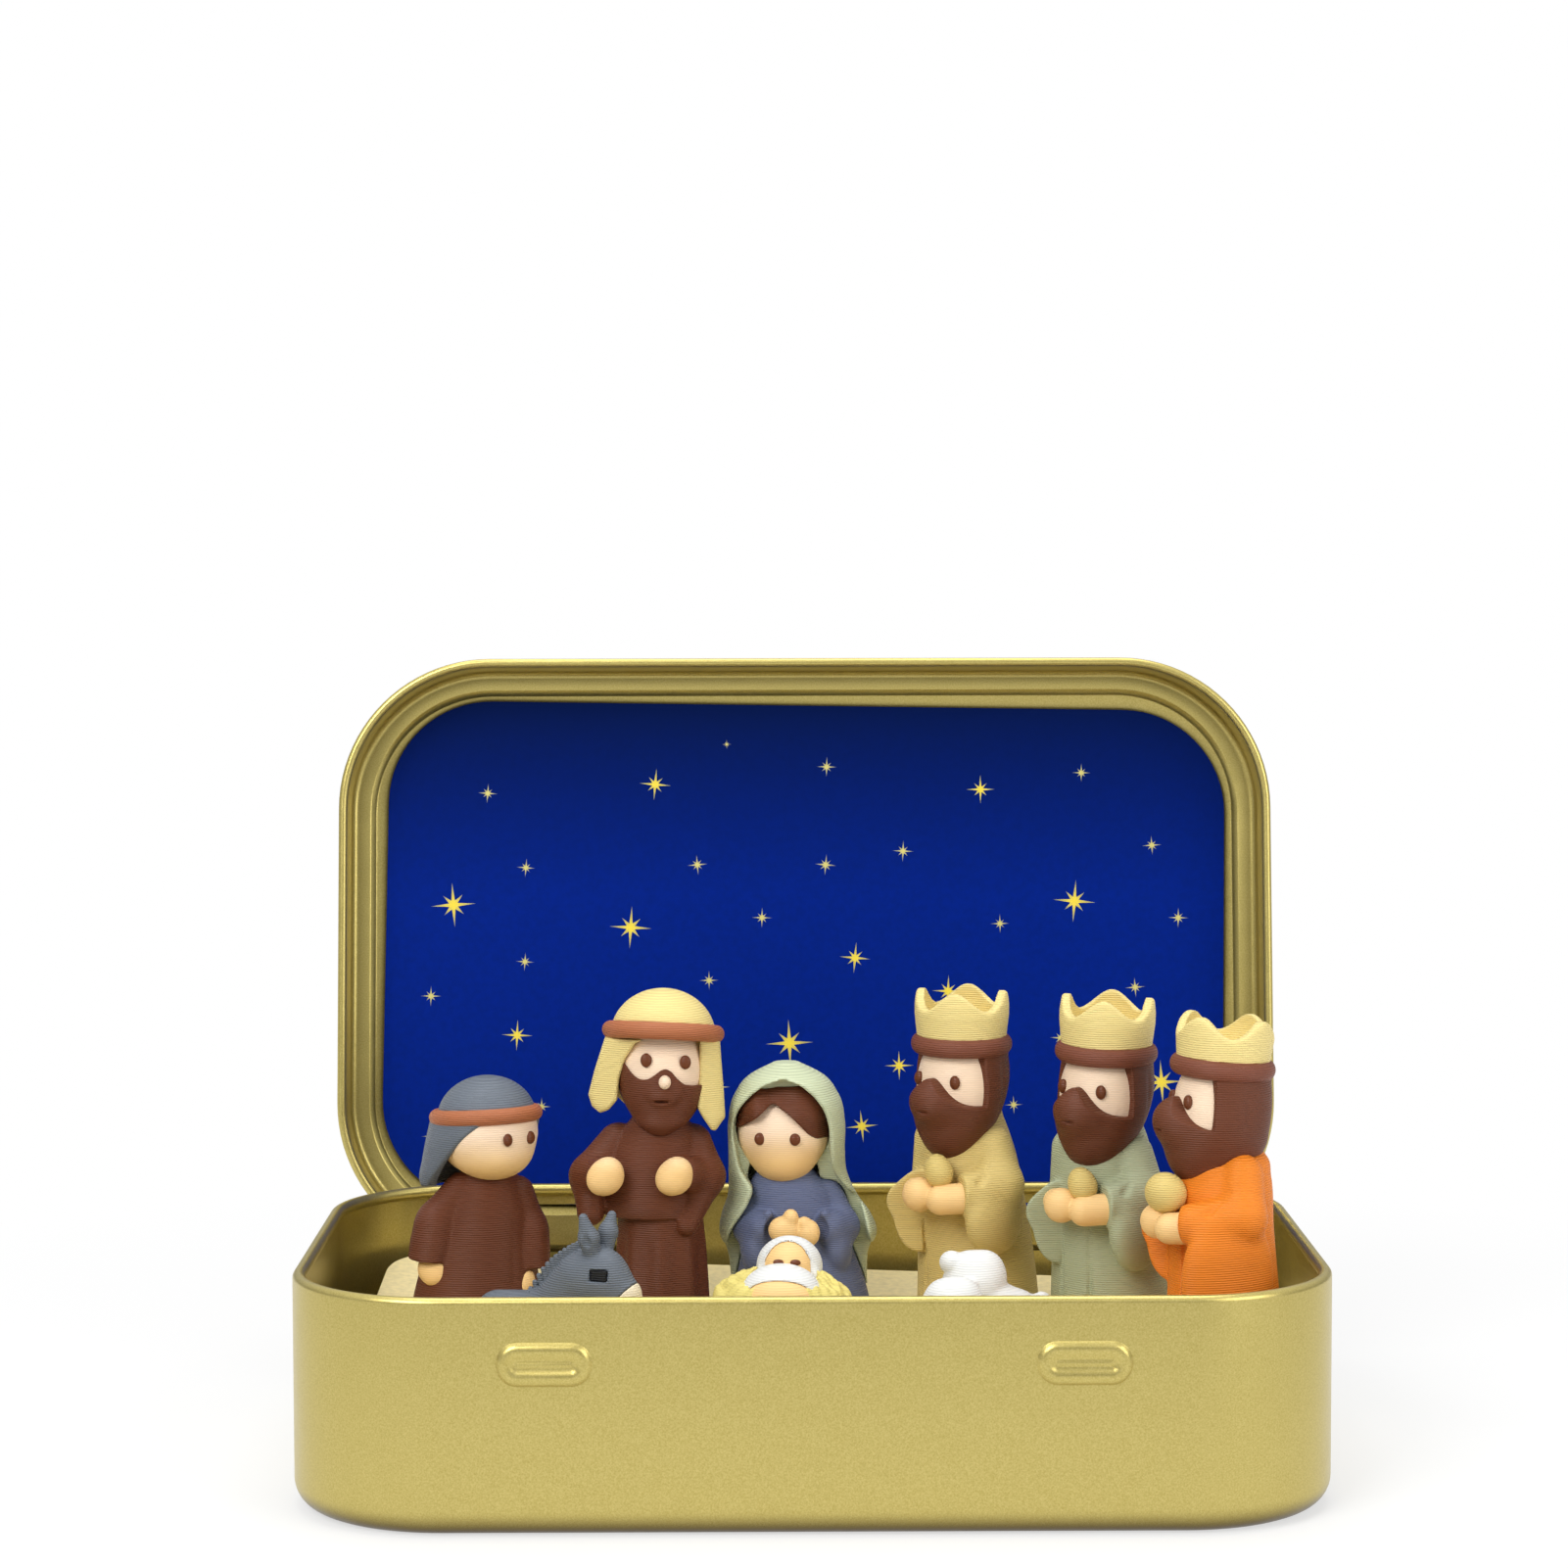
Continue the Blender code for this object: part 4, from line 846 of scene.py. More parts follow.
def sideways(figure, distance):
    """A move to the viewer's right, in the figure's own space."""
    turn = math.radians(PLACES[figure][2])
    return (distance * math.cos(turn), -distance * math.sin(turn), 0.0)


def dots(figure, part, spots, radii, plastic_key="eye", turns=()):
    """Small ovals, such as eyes, each (x, y, z)."""
    reach = 2.2 if turns else 0.1
    low = [min(s[k] for s in spots) - radii[k] - reach for k in range(3)]
    high = [max(s[k] for s in spots) + radii[k] + reach for k in range(3)]
    field = turned(meld(0.01, *[egg(spot, radii) for spot in spots]), *turns)
    return printed(figure, part, field, low, high, 0.07, plastic_key, detail=True)


def make_shepherd():
    """A boy looking to the right over his left shoulder, arms at his sides."""
    head_turns = (
        {"pivot": (0, 0, 14.0), "pitch": -5.3, "roll": 1.2},
        {"yaw": 18.0, "shift": sideways("shepherd", -0.18)},
    )
    body_turn = {
        "pivot": (0, 0, 7.5), "pitch": 1.5, "roll": 5.8, "yaw": -13.0, "shift": sideways("shepherd", -0.37),
    }
    robe = column([
        (-HEM - 1.5, 6.5, 5.1), (-HEM, 6.4, 5.0), (2.6, 6.0, 4.8), (7.0, 5.1, 4.3), (11.0, 4.2, 3.7),
        (13.2, 3.2, 2.9), (14.6, 2.0, 1.9),
    ])

    def arm(side, out):
        sleeve = carve(0.25, bar((out, -1.1, 8.4), (out + 0.3, -1.5, 5.0), 1.9, 2.0), below(5.4))
        shape = meld(
            0.6, bar((2.8, -0.6, 12.3), (out - 0.3, -0.8, 9.2), 1.55, 1.8),
            bar((out - 0.3, -0.8, 9.2), (out, -1.2, 7.0), 1.8, 1.95), sleeve,
        )
        return lambda x, y, z: shape(side * x, y, z)

    crease = mirrored(bar((2.8, -4.7, 4.0), (2.1, -3.7, 12.0), 0.6, 0.3))
    robed = carve(0.3, meld(0.35, robe, arm(-1, 5.1), arm(1, 4.2)), crease)
    body = both(0.15, tipped(lambda x, y, z: robed(x, y - 1.2, z), **body_turn), above(-HEM))
    printed("shepherd", "robe", body, (-9, -6, -1), (8, 9.0, 15.6), 0.22, "brown")
    for x, y, z, size, name in ((-4.6, -0.4, 4.6, 1.0, "right"), (3.5, -1.2, 4.1, 0.82, "left")):
        palm = (1.75 * size, 1.5 * size, 1.7 * size)
        hand = meld(
            0.35, egg((x, y, z), palm), egg((x, y - 0.5, z - 0.5), (1.3 * size, 1.0 * size, 1.05 * size)),
        )
        hand = tipped(hand, **body_turn)
        printed("shepherd", f"{name}_hand", hand, (x - 3.2, -4.6, 1.6), (x + 3.0, 3.6, 7.4), 0.14, "skin")
    face = both(
        0.2, meld(0.8, egg((0, -0.4, 18.0), (4.9, 4.75, 4.3)), egg((0, -1.5, 16.0), (3.5, 3.3, 2.5))),
        below(19.3),
    )
    printed("shepherd", "head", turned(face, *head_turns), (-6, -6.5, 12.6), (6, 6, 20.6), 0.18, "skin")
    shell = column([
        (13.1, 4.6, 3.3, 3.5), (13.7, 4.9, 4.0, 3.0), (15.6, 5.2, 5.1, 1.5), (18.0, 5.3, 5.6, 0.2),
        (19.4, 5.1, 5.4, -0.1),
    ])
    front = lambda x, y, z: (-3.9 + (19.2 - z) * 1.2 - y) * 0.64 + 0 * x
    hollow = column([
        (11.0, 3.6, 3.2, 1.6), (14.0, 4.1, 3.8, 1.4), (16.5, 4.55, 4.4, 0.2), (19.0, 4.5, 4.4, -0.4),
    ])
    fold = bar((-6.4, 1.9, 13.0), (-5.3, -2.2, 18.8), 0.3, 0.2)
    drape = carve(0.15, both(0.25, shell, front), hollow, fold)
    printed("shepherd", "scarf_drape", turned(drape, *head_turns), (-8, -5, 12), (8, 8.5, 20.6), 0.2, "slate")
    dome = both(0.3, egg((0, -0.4, 19.4), (4.75, 4.7, 4.05)), above(20.1))
    printed(
        "shepherd", "scarf_crown", turned(dome, *head_turns), (-6, -6, 18.5), (6, 6.5, 24.5), 0.2, "slate",
    )
    band = hoop(19.65, 4.7, 0.74, -0.3, 1.05)
    printed("shepherd", "headband", turned(band, *head_turns), (-6.5, -7, 17.5), (6.5, 7, 22.0), 0.16, "band")
    dots(
        "shepherd", "eyes", [(-1.42, -4.95, 17.4), (1.42, -4.95, 17.4)], (0.54, 0.26, 0.62), turns=head_turns,
    )


def make_father():
    """A bearded man holding out his fists, his headband tipped back."""
    lean = {"pivot": (0, 0, 18.0), "roll": 2.8}
    tip = {"pivot": (0, -0.3, 27.5), "pitch": -8.5}
    pleats = lambda angle, z: 0.16 * np.cos(9 * angle) * np.clip((9.8 - z) / 3.0, 0, 1)
    skirt = column(
        [
            (-HEM, 4.6, 4.4, 0.0, 0.2), (3.0, 4.45, 4.2, 0.0, 0.2), (7.0, 4.2, 4.0, 0.0, 0.2),
            (10.2, 4.1, 3.95, 0.0, 0.1),
        ],
        pleats,
    )
    chest = column([
        (9.9, 4.9, 4.35, 0.0, -0.5), (10.6, 5.1, 4.5, 0.0, -0.6), (13.0, 5.05, 4.35, 0.0, -0.7),
        (16.2, 4.4, 3.8, 0.0, -0.4), (18.4, 3.2, 2.9), (19.8, 2.1, 2.0),
    ])
    right = meld(
        0.6, bar((-3.9, 0.3, 16.6), (-6.3, -1.0, 13.6), 2.0, 2.25),
        bar((-6.3, -1.0, 13.6), (-6.5, -2.2, 10.4), 2.2, 1.35),
        bar((-6.2, -1.4, 13.6), (-5.2, -3.6, 14.2), 2.0, 1.7),
    )
    left = meld(
        0.6, bar((3.2, 0.3, 16.6), (4.2, -1.0, 13.6), 1.9, 2.15),
        bar((4.2, -1.0, 13.6), (2.7, -3.2, 9.3), 2.1, 1.1),
        bar((4.0, -1.4, 13.6), (2.5, -3.8, 14.3), 1.9, 1.7),
    )
    right_hollow, left_hollow = egg(
        (-4.2, -4.2, 11.9), (1.5, 2.4, 1.9),
    ), egg((1.6, -4.3, 11.9), (1.2, 2.2, 2.0))
    under_fists = lambda x, y, z: np.minimum(right_hollow(x, y, z), left_hollow(x, y, z))
    arms = carve(0.25, meld(0.5, right, left), under_fists)
    body = both(0.15, meld(0.12, meld(0.35, chest, arms), skirt), above(-HEM))
    printed("father", "robe", body, (-10, -6.5, -1), (7.5, 6, 19.8), 0.22, "brown")
    for x, name in ((-4.8, "right"), (1.75, "left")):
        fist = meld(
            0.9, egg((x - 0.15, -4.9, 14.2), (1.75, 1.5, 1.6)), egg((x + 0.2, -5.2, 15.1), (1.05, 1.0, 0.95)),
            egg((x - 0.5, -5.1, 13.6), (1.15, 1.0, 0.95)),
        )
        printed("father", f"{name}_hand", fist, (x - 2.1, -7, 12.0), (x + 2.1, -3.0, 16.6), 0.13, "skin")
    face = both(0.2, egg((0.05, -0.5, 23.9), (4.2, 4.1, 4.7)), below(27.4))
    printed("father", "head", tipped(face, **lean), (-5, -5.5, 17), (5, 4.5, 28.2), 0.2, "skin")
    dots("father", "nose", [(0.72, -5.25, 23.3)], (0.58, 0.62, 0.66), "skin")
    edge = smooth_curve(
        [-4.2, -3.1, -2.4, -1.7, -0.9, -0.3, 0.3, 0.8, 1.3, 1.9, 2.5, 3.1, 4.3],
        [25.6, 24.7, 23.9, 23.45, 23.5, 23.85, 24.3, 24.45, 24.2, 23.5, 22.95, 22.75, 22.7],
    )
    window = lambda x, y, z: np.maximum(edge(x) - z, y + 1.6)
    mass = meld(
        0.4,
        column([
            (17.9, 0.8, 0.7, -2.8, 0.2), (18.7, 2.1, 1.8, -2.4, 0.3), (20.0, 3.2, 2.9, -1.6, 0.4),
            (21.4, 3.95, 3.7, -1.1, 0.4), (23.0, 4.4, 4.25, -0.7, 0.4), (25.6, 4.45, 4.35, -0.4, 0.4),
        ]),
        egg((0.6, -4.3, 22.3), (1.8, 1.0, 1.5)),
    )
    mouth = egg((0.3, -5.2, 21.35), (0.9, 0.7, 0.16))
    behind = lambda x, y, z: y - 1.2 + 0 * x + 0 * z
    beard = both(0.1, carve(0.08, mass, window, mouth), behind, below(26.0))
    printed("father", "beard", beard, (-5.5, -6.5, 17), (5.5, 2, 26.6), 0.15, "brown")
    shell = column([
        (19.6, 2.8, 3.0, 1.5), (21.0, 4.2, 4.2, 0.8), (23.4, 5.2, 5.0, 0.2), (27.0, 5.35, 5.15, -0.2),
    ])
    back = lambda x, y, z: -0.8 - y + 0 * x + 0 * z
    curve_round = lambda x, z: -2.0 + (np.abs(x) - 4.2) * 0.55 + 0 * z
    lobe_right = patch(
        [
            (-0.9, 27.4), (-2.1, 26.8), (-3.1, 25.2), (-3.7, 23.2), (-3.9, 21.2), (-4.7, 20.2), (-5.6, 19.8),
            (-6.4, 20.4), (-6.75, 21.5), (-6.1, 24.0), (-5.0, 27.4),
        ],
        curve_round, 0.8, 0.7,
    )
    lobe_left = patch(
        [
            (4.0, 27.4), (3.95, 24.0), (3.75, 20.4), (4.2, 19.5), (5.1, 18.1), (5.5, 18.1), (6.4, 19.3),
            (6.25, 22.0), (5.85, 27.4),
        ],
        curve_round, 0.8, 0.7,
    )
    drape = both(0.15, meld(0.4, tipped(both(0.3, shell, back), **lean), lobe_right, lobe_left), below(27.2))
    printed("father", "scarf_drape", drape, (-8.5, -6, 17), (7.8, 6.5, 28), 0.18, "pale_yellow")
    dome = both(0.3, egg((0, -0.3, 27.1), (5.05, 4.95, 4.6)), above(28.0))
    printed(
        "father", "scarf_crown", turned(dome, tip, lean), (-6, -6, 26.0), (6.5, 6.5, 33), 0.2, "pale_yellow",
    )
    printed(
        "father", "headband", turned(hoop(27.5, 5.08, 0.8, -0.3, 1.05), tip, lean), (-6.7, -7, 25.0),
        (7.2, 7, 30.5), 0.17, "band",
    )
    dots("father", "eyes", [(-1.07, -4.5, 25.3), (2.65, -4.15, 25.05)], (0.54, 0.3, 0.68))


def make_mother():
    """A kneeling woman with joined hands under a thick-rimmed veil, her hair parted."""
    robe = column([
        (-HEM, 7.0, 5.5, 0.0, 0.6), (3.0, 6.2, 5.0, 0.0, 0.4), (6.5, 5.2, 4.2, 0.0, 0.1),
        (9.5, 4.6, 3.9, 0.0, -0.1), (11.8, 4.2, 3.6, 0.2, -0.5), (13.2, 3.1, 2.8, 0.0, -0.9),
        (14.4, 1.9, 1.9, -0.4, -1.1),
    ])
    arm = mirrored(meld(
        0.6, bar((2.9, 0.0, 11.4), (4.35, -1.2, 8.2), 1.6, 1.7),
        bar((4.35, -1.2, 8.2), (3.2, -3.4, 8.6), 1.75, 1.6), egg((3.85, -2.4, 6.7), (1.6, 2.2, 2.9)),
        bar((3.1, -3.6, 8.8), (2.7, -4.6, 10.0), 1.0, 0.45),
    ))
    cuff = mirrored(egg((1.9, -5.1, 8.4), (1.2, 1.3, 1.6)))
    body = both(0.2, carve(0.15, meld(0.4, robe, arm), cuff), above(-HEM))
    printed("mother", "robe", body, (-8, -6.5, -1), (9, 6, 15), 0.2, "slate_blue")
    face = meld(0.8, egg((-1.2, -0.6, 17.4), (4.45, 4.2, 4.3)), egg((-1.25, -1.2, 15.0), (2.9, 3.1, 2.5)))
    printed("mother", "head", face, (-6.2, -6, 11.6), (4, 4.5, 22.5), 0.18, "skin")
    dots("mother", "eyes", [(-3.5, -4.25, 17.25), (-0.12, -4.75, 17.25)], (0.52, 0.28, 0.6))
    lobes = meld(
        0.12, egg((-3.5, -0.95, 19.8), (1.95, 3.85, 2.4)), egg((0.35, -0.95, 19.5), (2.95, 4.0, 3.1)),
    )
    cap = egg((-1.2, -0.45, 18.3), (4.65, 4.5, 4.6))
    lower = smooth_curve(
        [-6.5, -5.5, -4.8, -3.9, -3.0, -2.2, -1.4, -0.5, 0.4, 1.2, 2.2, 3.0],
        [17.4, 18.0, 18.5, 19.2, 20.0, 20.6, 20.1, 19.4, 18.5, 17.6, 16.8, 16.2],
    )
    gap = lambda x, y, z: np.maximum((z - lower(x)) * 0.75, y + 0.6)
    mass = meld(0.3, lobes, cap)
    hair = carve(0.15, mass, gap)
    printed("mother", "hair", hair, (-7, -6, 14), (5, 5, 23.2), 0.15, "brown")
    hands = meld(
        0.3, egg((-1.15, -5.2, 8.6), (1.55, 1.15, 1.35)), egg((1.15, -5.2, 8.3), (1.1, 1.1, 1.3)),
        egg((-0.55, -5.4, 9.8), (0.75, 0.75, 0.85)), egg((0.75, -5.3, 9.3), (0.6, 0.7, 0.6)),
    )
    printed("mother", "hands", hands, (-3.2, -6.8, 6.6), (2.8, -3.5, 11.4), 0.12, "skin")
    outer = column([
        (-HEM, 6.6, 5.4, 0.5, 0.4), (3.0, 6.7, 5.4, 0.5, 0.3), (5.2, 6.85, 5.5, 0.5, 0.2),
        (7.8, 7.65, 5.5, 0.0, 0.2), (9.4, 7.2, 5.3, 0.0, 0.0), (11.0, 6.35, 5.1, 0.1, -0.3),
        (13.4, 5.75, 5.1, 0.2, -0.8), (15.6, 5.65, 5.4, -0.65, -0.9), (18.5, 5.65, 5.7, -1.0, -0.9),
        (21.2, 5.0, 5.3, -1.1, -0.9), (23.1, 3.4, 3.7, -1.05, -0.9), (24.2, 1.2, 1.3, -0.7, -0.9),
    ])
    inner = grown(
        0.1,
        meld(
            0.4, robe, arm, mass, egg((-1.2, -0.4, 18.0), (4.5, 4.5, 4.5)),
            egg((-1.2, 0.2, 13.6), (3.6, 3.8, 3.0)),
        ),
    )
    mouth = smooth_curve(
        [-1.0, 3.0, 8.4, 10.6, 12.0, 13.0, 15.5, 20.0, 21.8, 22.9, 23.7],
        [0.8, 0.6, 0.4, 0.1, -0.6, -1.2, -1.7, -2.2, -3.0, -4.3, -7.5],
    )
    side = smooth_curve(
        [-1.0, 8.0, 11.0, 12.0, 14.0, 16.0, 18.5, 20.5, 21.8, 22.6, 23.0],
        [6.6, 6.5, 5.1, 4.5, 4.4, 4.5, 4.5, 3.7, 2.5, 1.3, 0.1],
    )
    middle = smooth_curve([-1.0, 8.0, 11.0, 12.0, 14.0, 16.0, 24.0], [0.4, 0.3, 0.6, 0.3, -0.9, -1.25, -1.25])
    opening = lambda x, y, z: np.maximum(np.abs(x - middle(z)) - side(z), y - mouth(z))
    veil = both(0.15, carve(0.7, outer, opening), above(-HEM))
    veil = carve(0.12, veil, inner)
    printed("mother", "veil", veil, (-8.8, -7.0, -1), (8.6, 7, 25), 0.19, "sage")


# Each king: train, nod and lean of the head in degrees, its move to the viewer's right, extra turn of head
# and body, half the distance between the eyes, how far up the crown's points end, how far the cuffs reach
# forwards, how much further they do lower down, where the near sleeve ends, and how long the nape's hair is
KINGS = {
    "tan_king": (2.5, 1.0, 0.3, 0.3, -4.0, 0.0, 2.2, 31.35, 0.5, 0.0, 6.4, 0.0),
    "green_king": (1.7, 2.0, 1.6, 0.5, -5.0, 0.0, 2.2, 31.45, 0.6, 0.0, 6.0, 0.0),
    "orange_king": (0.6, -0.5, 4.3, 0.0, -12.0, -6.0, 1.65, 30.8, 2.1, 0.06, 0.5, 1.0),
}


def make_king(name, cloth, gift):
    """A crowned, bearded man with wide hanging sleeves and a gift between his hands."""
    train, nod, lean, moved, head_yaw, body_yaw, eye_x, peak_z, reach, sweep, sleeve_end, nape = KINGS[name]
    facing = math.radians(PLACES[name][2] + head_yaw)
    head_turns = (
        {
            "pivot": (0, -0.3, 17.0),
            "pitch": nod * math.cos(facing) + lean * math.sin(facing),
            "roll": lean * math.cos(facing) - nod * math.sin(facing),
        },
        {"yaw": head_yaw, "shift": sideways(name, moved)},
    )
    body_turn = {"yaw": body_yaw}
    robe = column([
        (-HEM, 5.6 + 0.18 * train, 5.1 + 0.36 * train, train * 1.3),
        (5.0, 5.3 + 0.15 * train, 4.9 + 0.3 * train, train * 1.1),
        (11.0, 5.0 + 0.1 * train, 4.6 + 0.2 * train, train * 0.75), (16.0, 4.6, 4.3, 0.4 + train * 0.35),
        (18.6 - nape, 3.7, 3.6, 1.1), (20.2 - 1.9 * nape, 2.6, 2.4, 1.7), (20.9 - 2.1 * nape, 1.3, 1.2, 2.0),
    ])

    def sleeve(out, elbow, end, forward, wide, hang):
        middle = (13.6 + end) / 2
        bell = egg(
            (out - 0.1, hang - 0.4 * forward, middle), (wide, 3.9 + 0.4 * forward, 13.6 - middle + 0.3),
        )
        cuff_edge = lambda x, y, z: (3.2 - x) * 0.63 + (-3.9 - forward - sweep * (13.5 - z) - y) * 0.78
        shape = meld(
            0.7, bar((3.3, 0.5, 16.4), (out, -0.4, elbow), 2.0, 2.2),
            bar((out, -0.4, elbow), (3.2, -4.6, elbow - 0.6), 2.2, 1.9), bell,
        )
        return both(0.25, shape, cuff_edge)

    near = carve(
        0.2, sleeve(5.0, 12.8, sleeve_end, reach, 1.9, -1.0),
        bar((5.1, -1.9, 15.4), (5.4, -4.2, 13.7), 0.2, 0.55),
    )
    far = sleeve(2.8, 11.5, 6.1, 0.0, 2.15, -2.6)
    arms = meld(0.2, near, lambda x, y, z: far(-x, y, z))
    cuff = mirrored(egg((2.4, -5.5 - reach, 11.2), (1.5, 2.3, 2.5)))
    seam = bar((1.0, -4.95 + train, -1.5), (1.0, -4.4 + train * 0.4, 11.0), 0.3, 0.2)
    pleat = bar((-2.4, -4.4 + train, -1.5), (-2.1, -4.0 + train * 0.4, 9.0), 0.25, 0.15)
    body = both(0.2, carve(0.2, carve(0.12, meld(0.35, robe, arms), seam, pleat), cuff), above(-HEM))
    body = tipped(body, **body_turn)
    printed(name, "robe", body, (-8, -9, -1), (8.4, 9.4, 19.8), 0.22, cloth)
    hands = meld(
        0.25, egg((-0.75, -5.6 - 0.15 * reach, 12.0), (1.65, 1.6, 1.65)),
        bar((-2.4, -4.0, 12.0), (-1.0, -5.2, 12.0), 1.2),
        bar((3.4, -4.2, 11.85), (1.7, -5.4 - 0.3 * reach, 11.7), 1.5, 1.45),
    )
    hands = tipped(hands, **body_turn)
    printed(name, "hands", hands, (-4.8, -9.0, 9.6), (5.4, -1.6, 14.4), 0.13, "skin")
    face = both(0.2, egg((0, -0.5, 22.0), (4.2, 4.1, 5.6)), below(25.6))
    printed(name, "head", turned(face, *head_turns), (-5, -5.5, 16), (5, 5, 26.6), 0.2, "skin")
    edge = lambda x: 20.5 + 2.7 * np.exp(-((x / 2.0) ** 2))
    window = lambda x, y, z: np.maximum(edge(x) - z, y + 1.8 + 0.75 * nape)
    mass = meld(
        1.3,
        column([
            (14.8, 0.9, 0.8, -1.9), (15.7, 2.0, 1.9 + 0.3 * nape, -1.9 + 0.2 * nape),
            (17.4, 3.3, 3.35 + 0.9 * nape, -1.5 + 0.7 * nape),
            (19.0, 4.1, 4.1 + 0.75 * nape, -1.1 + 0.6 * nape),
            (20.6, 4.55, 4.5 + 0.4 * nape, -0.8 + 0.4 * nape), (22.6, 4.65, 4.7, -0.35 + 0.2 * nape),
            (25.4, 4.4, 4.5, -0.2),
        ]),
        egg((0, -4.7, 20.9), (2.3, 2.0, 2.1)),
    )
    mouth = egg((0.35, -6.9, 20.1), (0.85, 0.7, 0.16))
    hollow = mirrored(bar((5.05, 0.9, 17.8), (5.05, 0.5, 24.6), 0.55, 0.5))
    hair = both(0.1, carve(0.1, carve(0.35, mass, hollow), window, mouth), below(25.5))
    printed(
        name, "hair_and_beard", turned(hair, *head_turns), (-6, -8.4, 14.0), (6, 6.2, 26.4), 0.16, "brown",
    )
    eye_y = -0.5 - 4.1 * math.sqrt(1 - (eye_x / 4.25) ** 2)
    dots(name, "eyes", [(-eye_x, eye_y, 22.9), (eye_x, eye_y, 22.9)], (0.55, 0.4, 0.68), turns=head_turns)
    band = turned(hoop(26.1, 4.12, 0.76, -0.3, 1.22), *head_turns)
    printed(name, "headband", band, (-6, -6, 24.0), (6, 6, 28.4), 0.15, "dark_band")

    def crown(x, y, z):
        """Four broad points on a wall with a stepped foot, open above a floor."""
        across = np.sqrt(x * x + (y + 0.3) ** 2)
        angle = np.arctan2(x, -(y + 0.3))
        flare = 4.33 + 0.22 * np.clip((z - 27.0) / 2.0, 0, 1) - 0.12 * np.clip(z - 30.0, 0, 1)
        wave = np.cos(4 * (angle - math.radians(30.0)))
        lip = z - (peak_z - 0.87 + 0.87 * wave)
        step = 26.75 + 0.2 * ((angle * 2.6) % 1.0) - z
        cavity = np.maximum(across - (flare - 0.85), 28.0 - z)
        wall = soft_max(across - flare, lip * 0.75, 0.4)
        return np.maximum(np.maximum(wall, -cavity), step)

    foot = column([(26.0, 3.9, 3.9, -0.3), (27.2, 3.9, 3.9, -0.3)])
    printed(
        name, "crown", turned(meld(0.02, crown, foot), *head_turns), (-5.8, -6, 25), (5.8, 6, 32.6), 0.14,
        "pale_yellow",
    )
    if gift == "drop":
        lower = 0.3 if name == "green_king" else 0.0
        jar = meld(
            0.9, egg((1.3, -5.1, 14.1 - lower), (1.35, 1.3, 1.35)),
            egg((1.15, -5.1, 15.0 - lower), (1.0, 1.0, 1.05)),
        )
        jar = tipped(jar, pivot=(1.3, -5.1, 13.2 - lower), roll=-14.0, shift=sideways(name, 0.1 + lower / 3))
    else:
        jar = meld(0.6, egg((0.0, -6.1, 14.6), (1.9, 1.9, 1.75)), egg((0.0, -6.3, 15.1), (1.6, 1.6, 1.5)))
        jar = tipped(jar, shift=sideways(name, 0.55))
    jar = tipped(jar, **body_turn)
    printed(name, "gift", jar, (-3.0, -9.0, 12.2), (3.4, -3.0, 17.4), 0.13, "dull_gold")


def make_donkey():
    """A short-legged donkey with a big wedge of a head, a square eye socket and a notched mane."""
    trunk = meld(
        1.0, bar((-4.3, 0, 3.6), (-0.5, 0, 3.75), 2.25, 2.35), bar((1.0, 0, 4.1), (4.2, 0, 7.4), 2.3, 2.55),
    )
    head = meld(0.8, egg((5.9, 0, 7.5), (3.0, 2.5, 3.15)), bar((6.4, 0, 7.6), (8.4, 0, 6.3), 2.3, 1.75))
    legs = mirrored_y(meld(
        0.3, bar((-4.0, 1.3, 3.2), (-4.1, 1.35, 0.9), 1.2, 1.05),
        bar((2.2, 1.3, 3.6), (2.4, 1.4, 0.9), 1.25, 1.05),
    ))
    near_ear = meld(
        0.3, bar((5.7, -0.9, 10.2), (5.5, -1.2, 11.6), 0.85, 0.98),
        bar((5.5, -1.2, 11.6), (5.1, -1.5, 13.5), 0.98, 0.42),
    )
    near_ear = carve(0.15, near_ear, bar((5.75, -2.2, 11.2), (5.3, -2.35, 13.2), 0.42, 0.2))
    far_ear = meld(
        0.3, bar((6.1, 1.2, 10.2), (6.25, 1.5, 11.8), 0.75, 0.9),
        bar((6.25, 1.5, 11.8), (6.5, 1.8, 13.3), 0.9, 0.42),
    )
    spine = smooth_curve([-0.9, 0.6, 2.0, 3.2, 4.1], [6.0, 8.15, 9.4, 10.2, 10.65])
    steps = [-0.9 + 0.44 * k for k in range(12)]
    mane = [
        bar(
            (x + 0.25, 0.0, float(spine(x)) - 0.9), (x - 0.1, 0.0, float(spine(x)) + 0.2), 0.3, 0.26,
        ) for x in steps
    ]
    notches = [
        bar(
            (x + 0.6, -0.75, float(spine(x)) - 1.2), (x + 0.1, -0.5, float(spine(x)) - 0.1), 0.09, 0.17,
        ) for x in steps
    ]
    socket = slab((6.05, -3.6, 7.8), (7.7, -1.75, 8.9), 0.15)
    body = meld(0.2, meld(0.9, trunk, head), legs, near_ear, far_ear)
    body = carve(0.04, meld(0.05, body, *mane), *notches)
    body = both(0.1, carve(0.08, body, socket), above(0.0))
    cap = lambda x, y, z: (x - 8.55) * 0.72 - (z - 6.35) * 0.69 + 0 * y
    printed("donkey", "body", both(0.06, body, cap), (-8, -3.8, 0), (11, 3.8, 14), 0.16, "slate")
    muzzle = carve(0.06, meld(0.3, head, egg((9.0, 0, 5.4), (1.3, 1.55, 1.35))), grown(0.06, cap))
    printed("donkey", "muzzle", muzzle, (6.0, -2.6, 3), (11.5, 2.6, 9.5), 0.13, "cream")
    printed(
        "donkey", "eye_socket", slab((6.1, -2.25, 7.85), (7.65, -1.7, 8.85), 0.05), (5.8, -2.6, 7.6),
        (8.0, -1.5, 9.2), 0.09, "black", detail=True,
    )


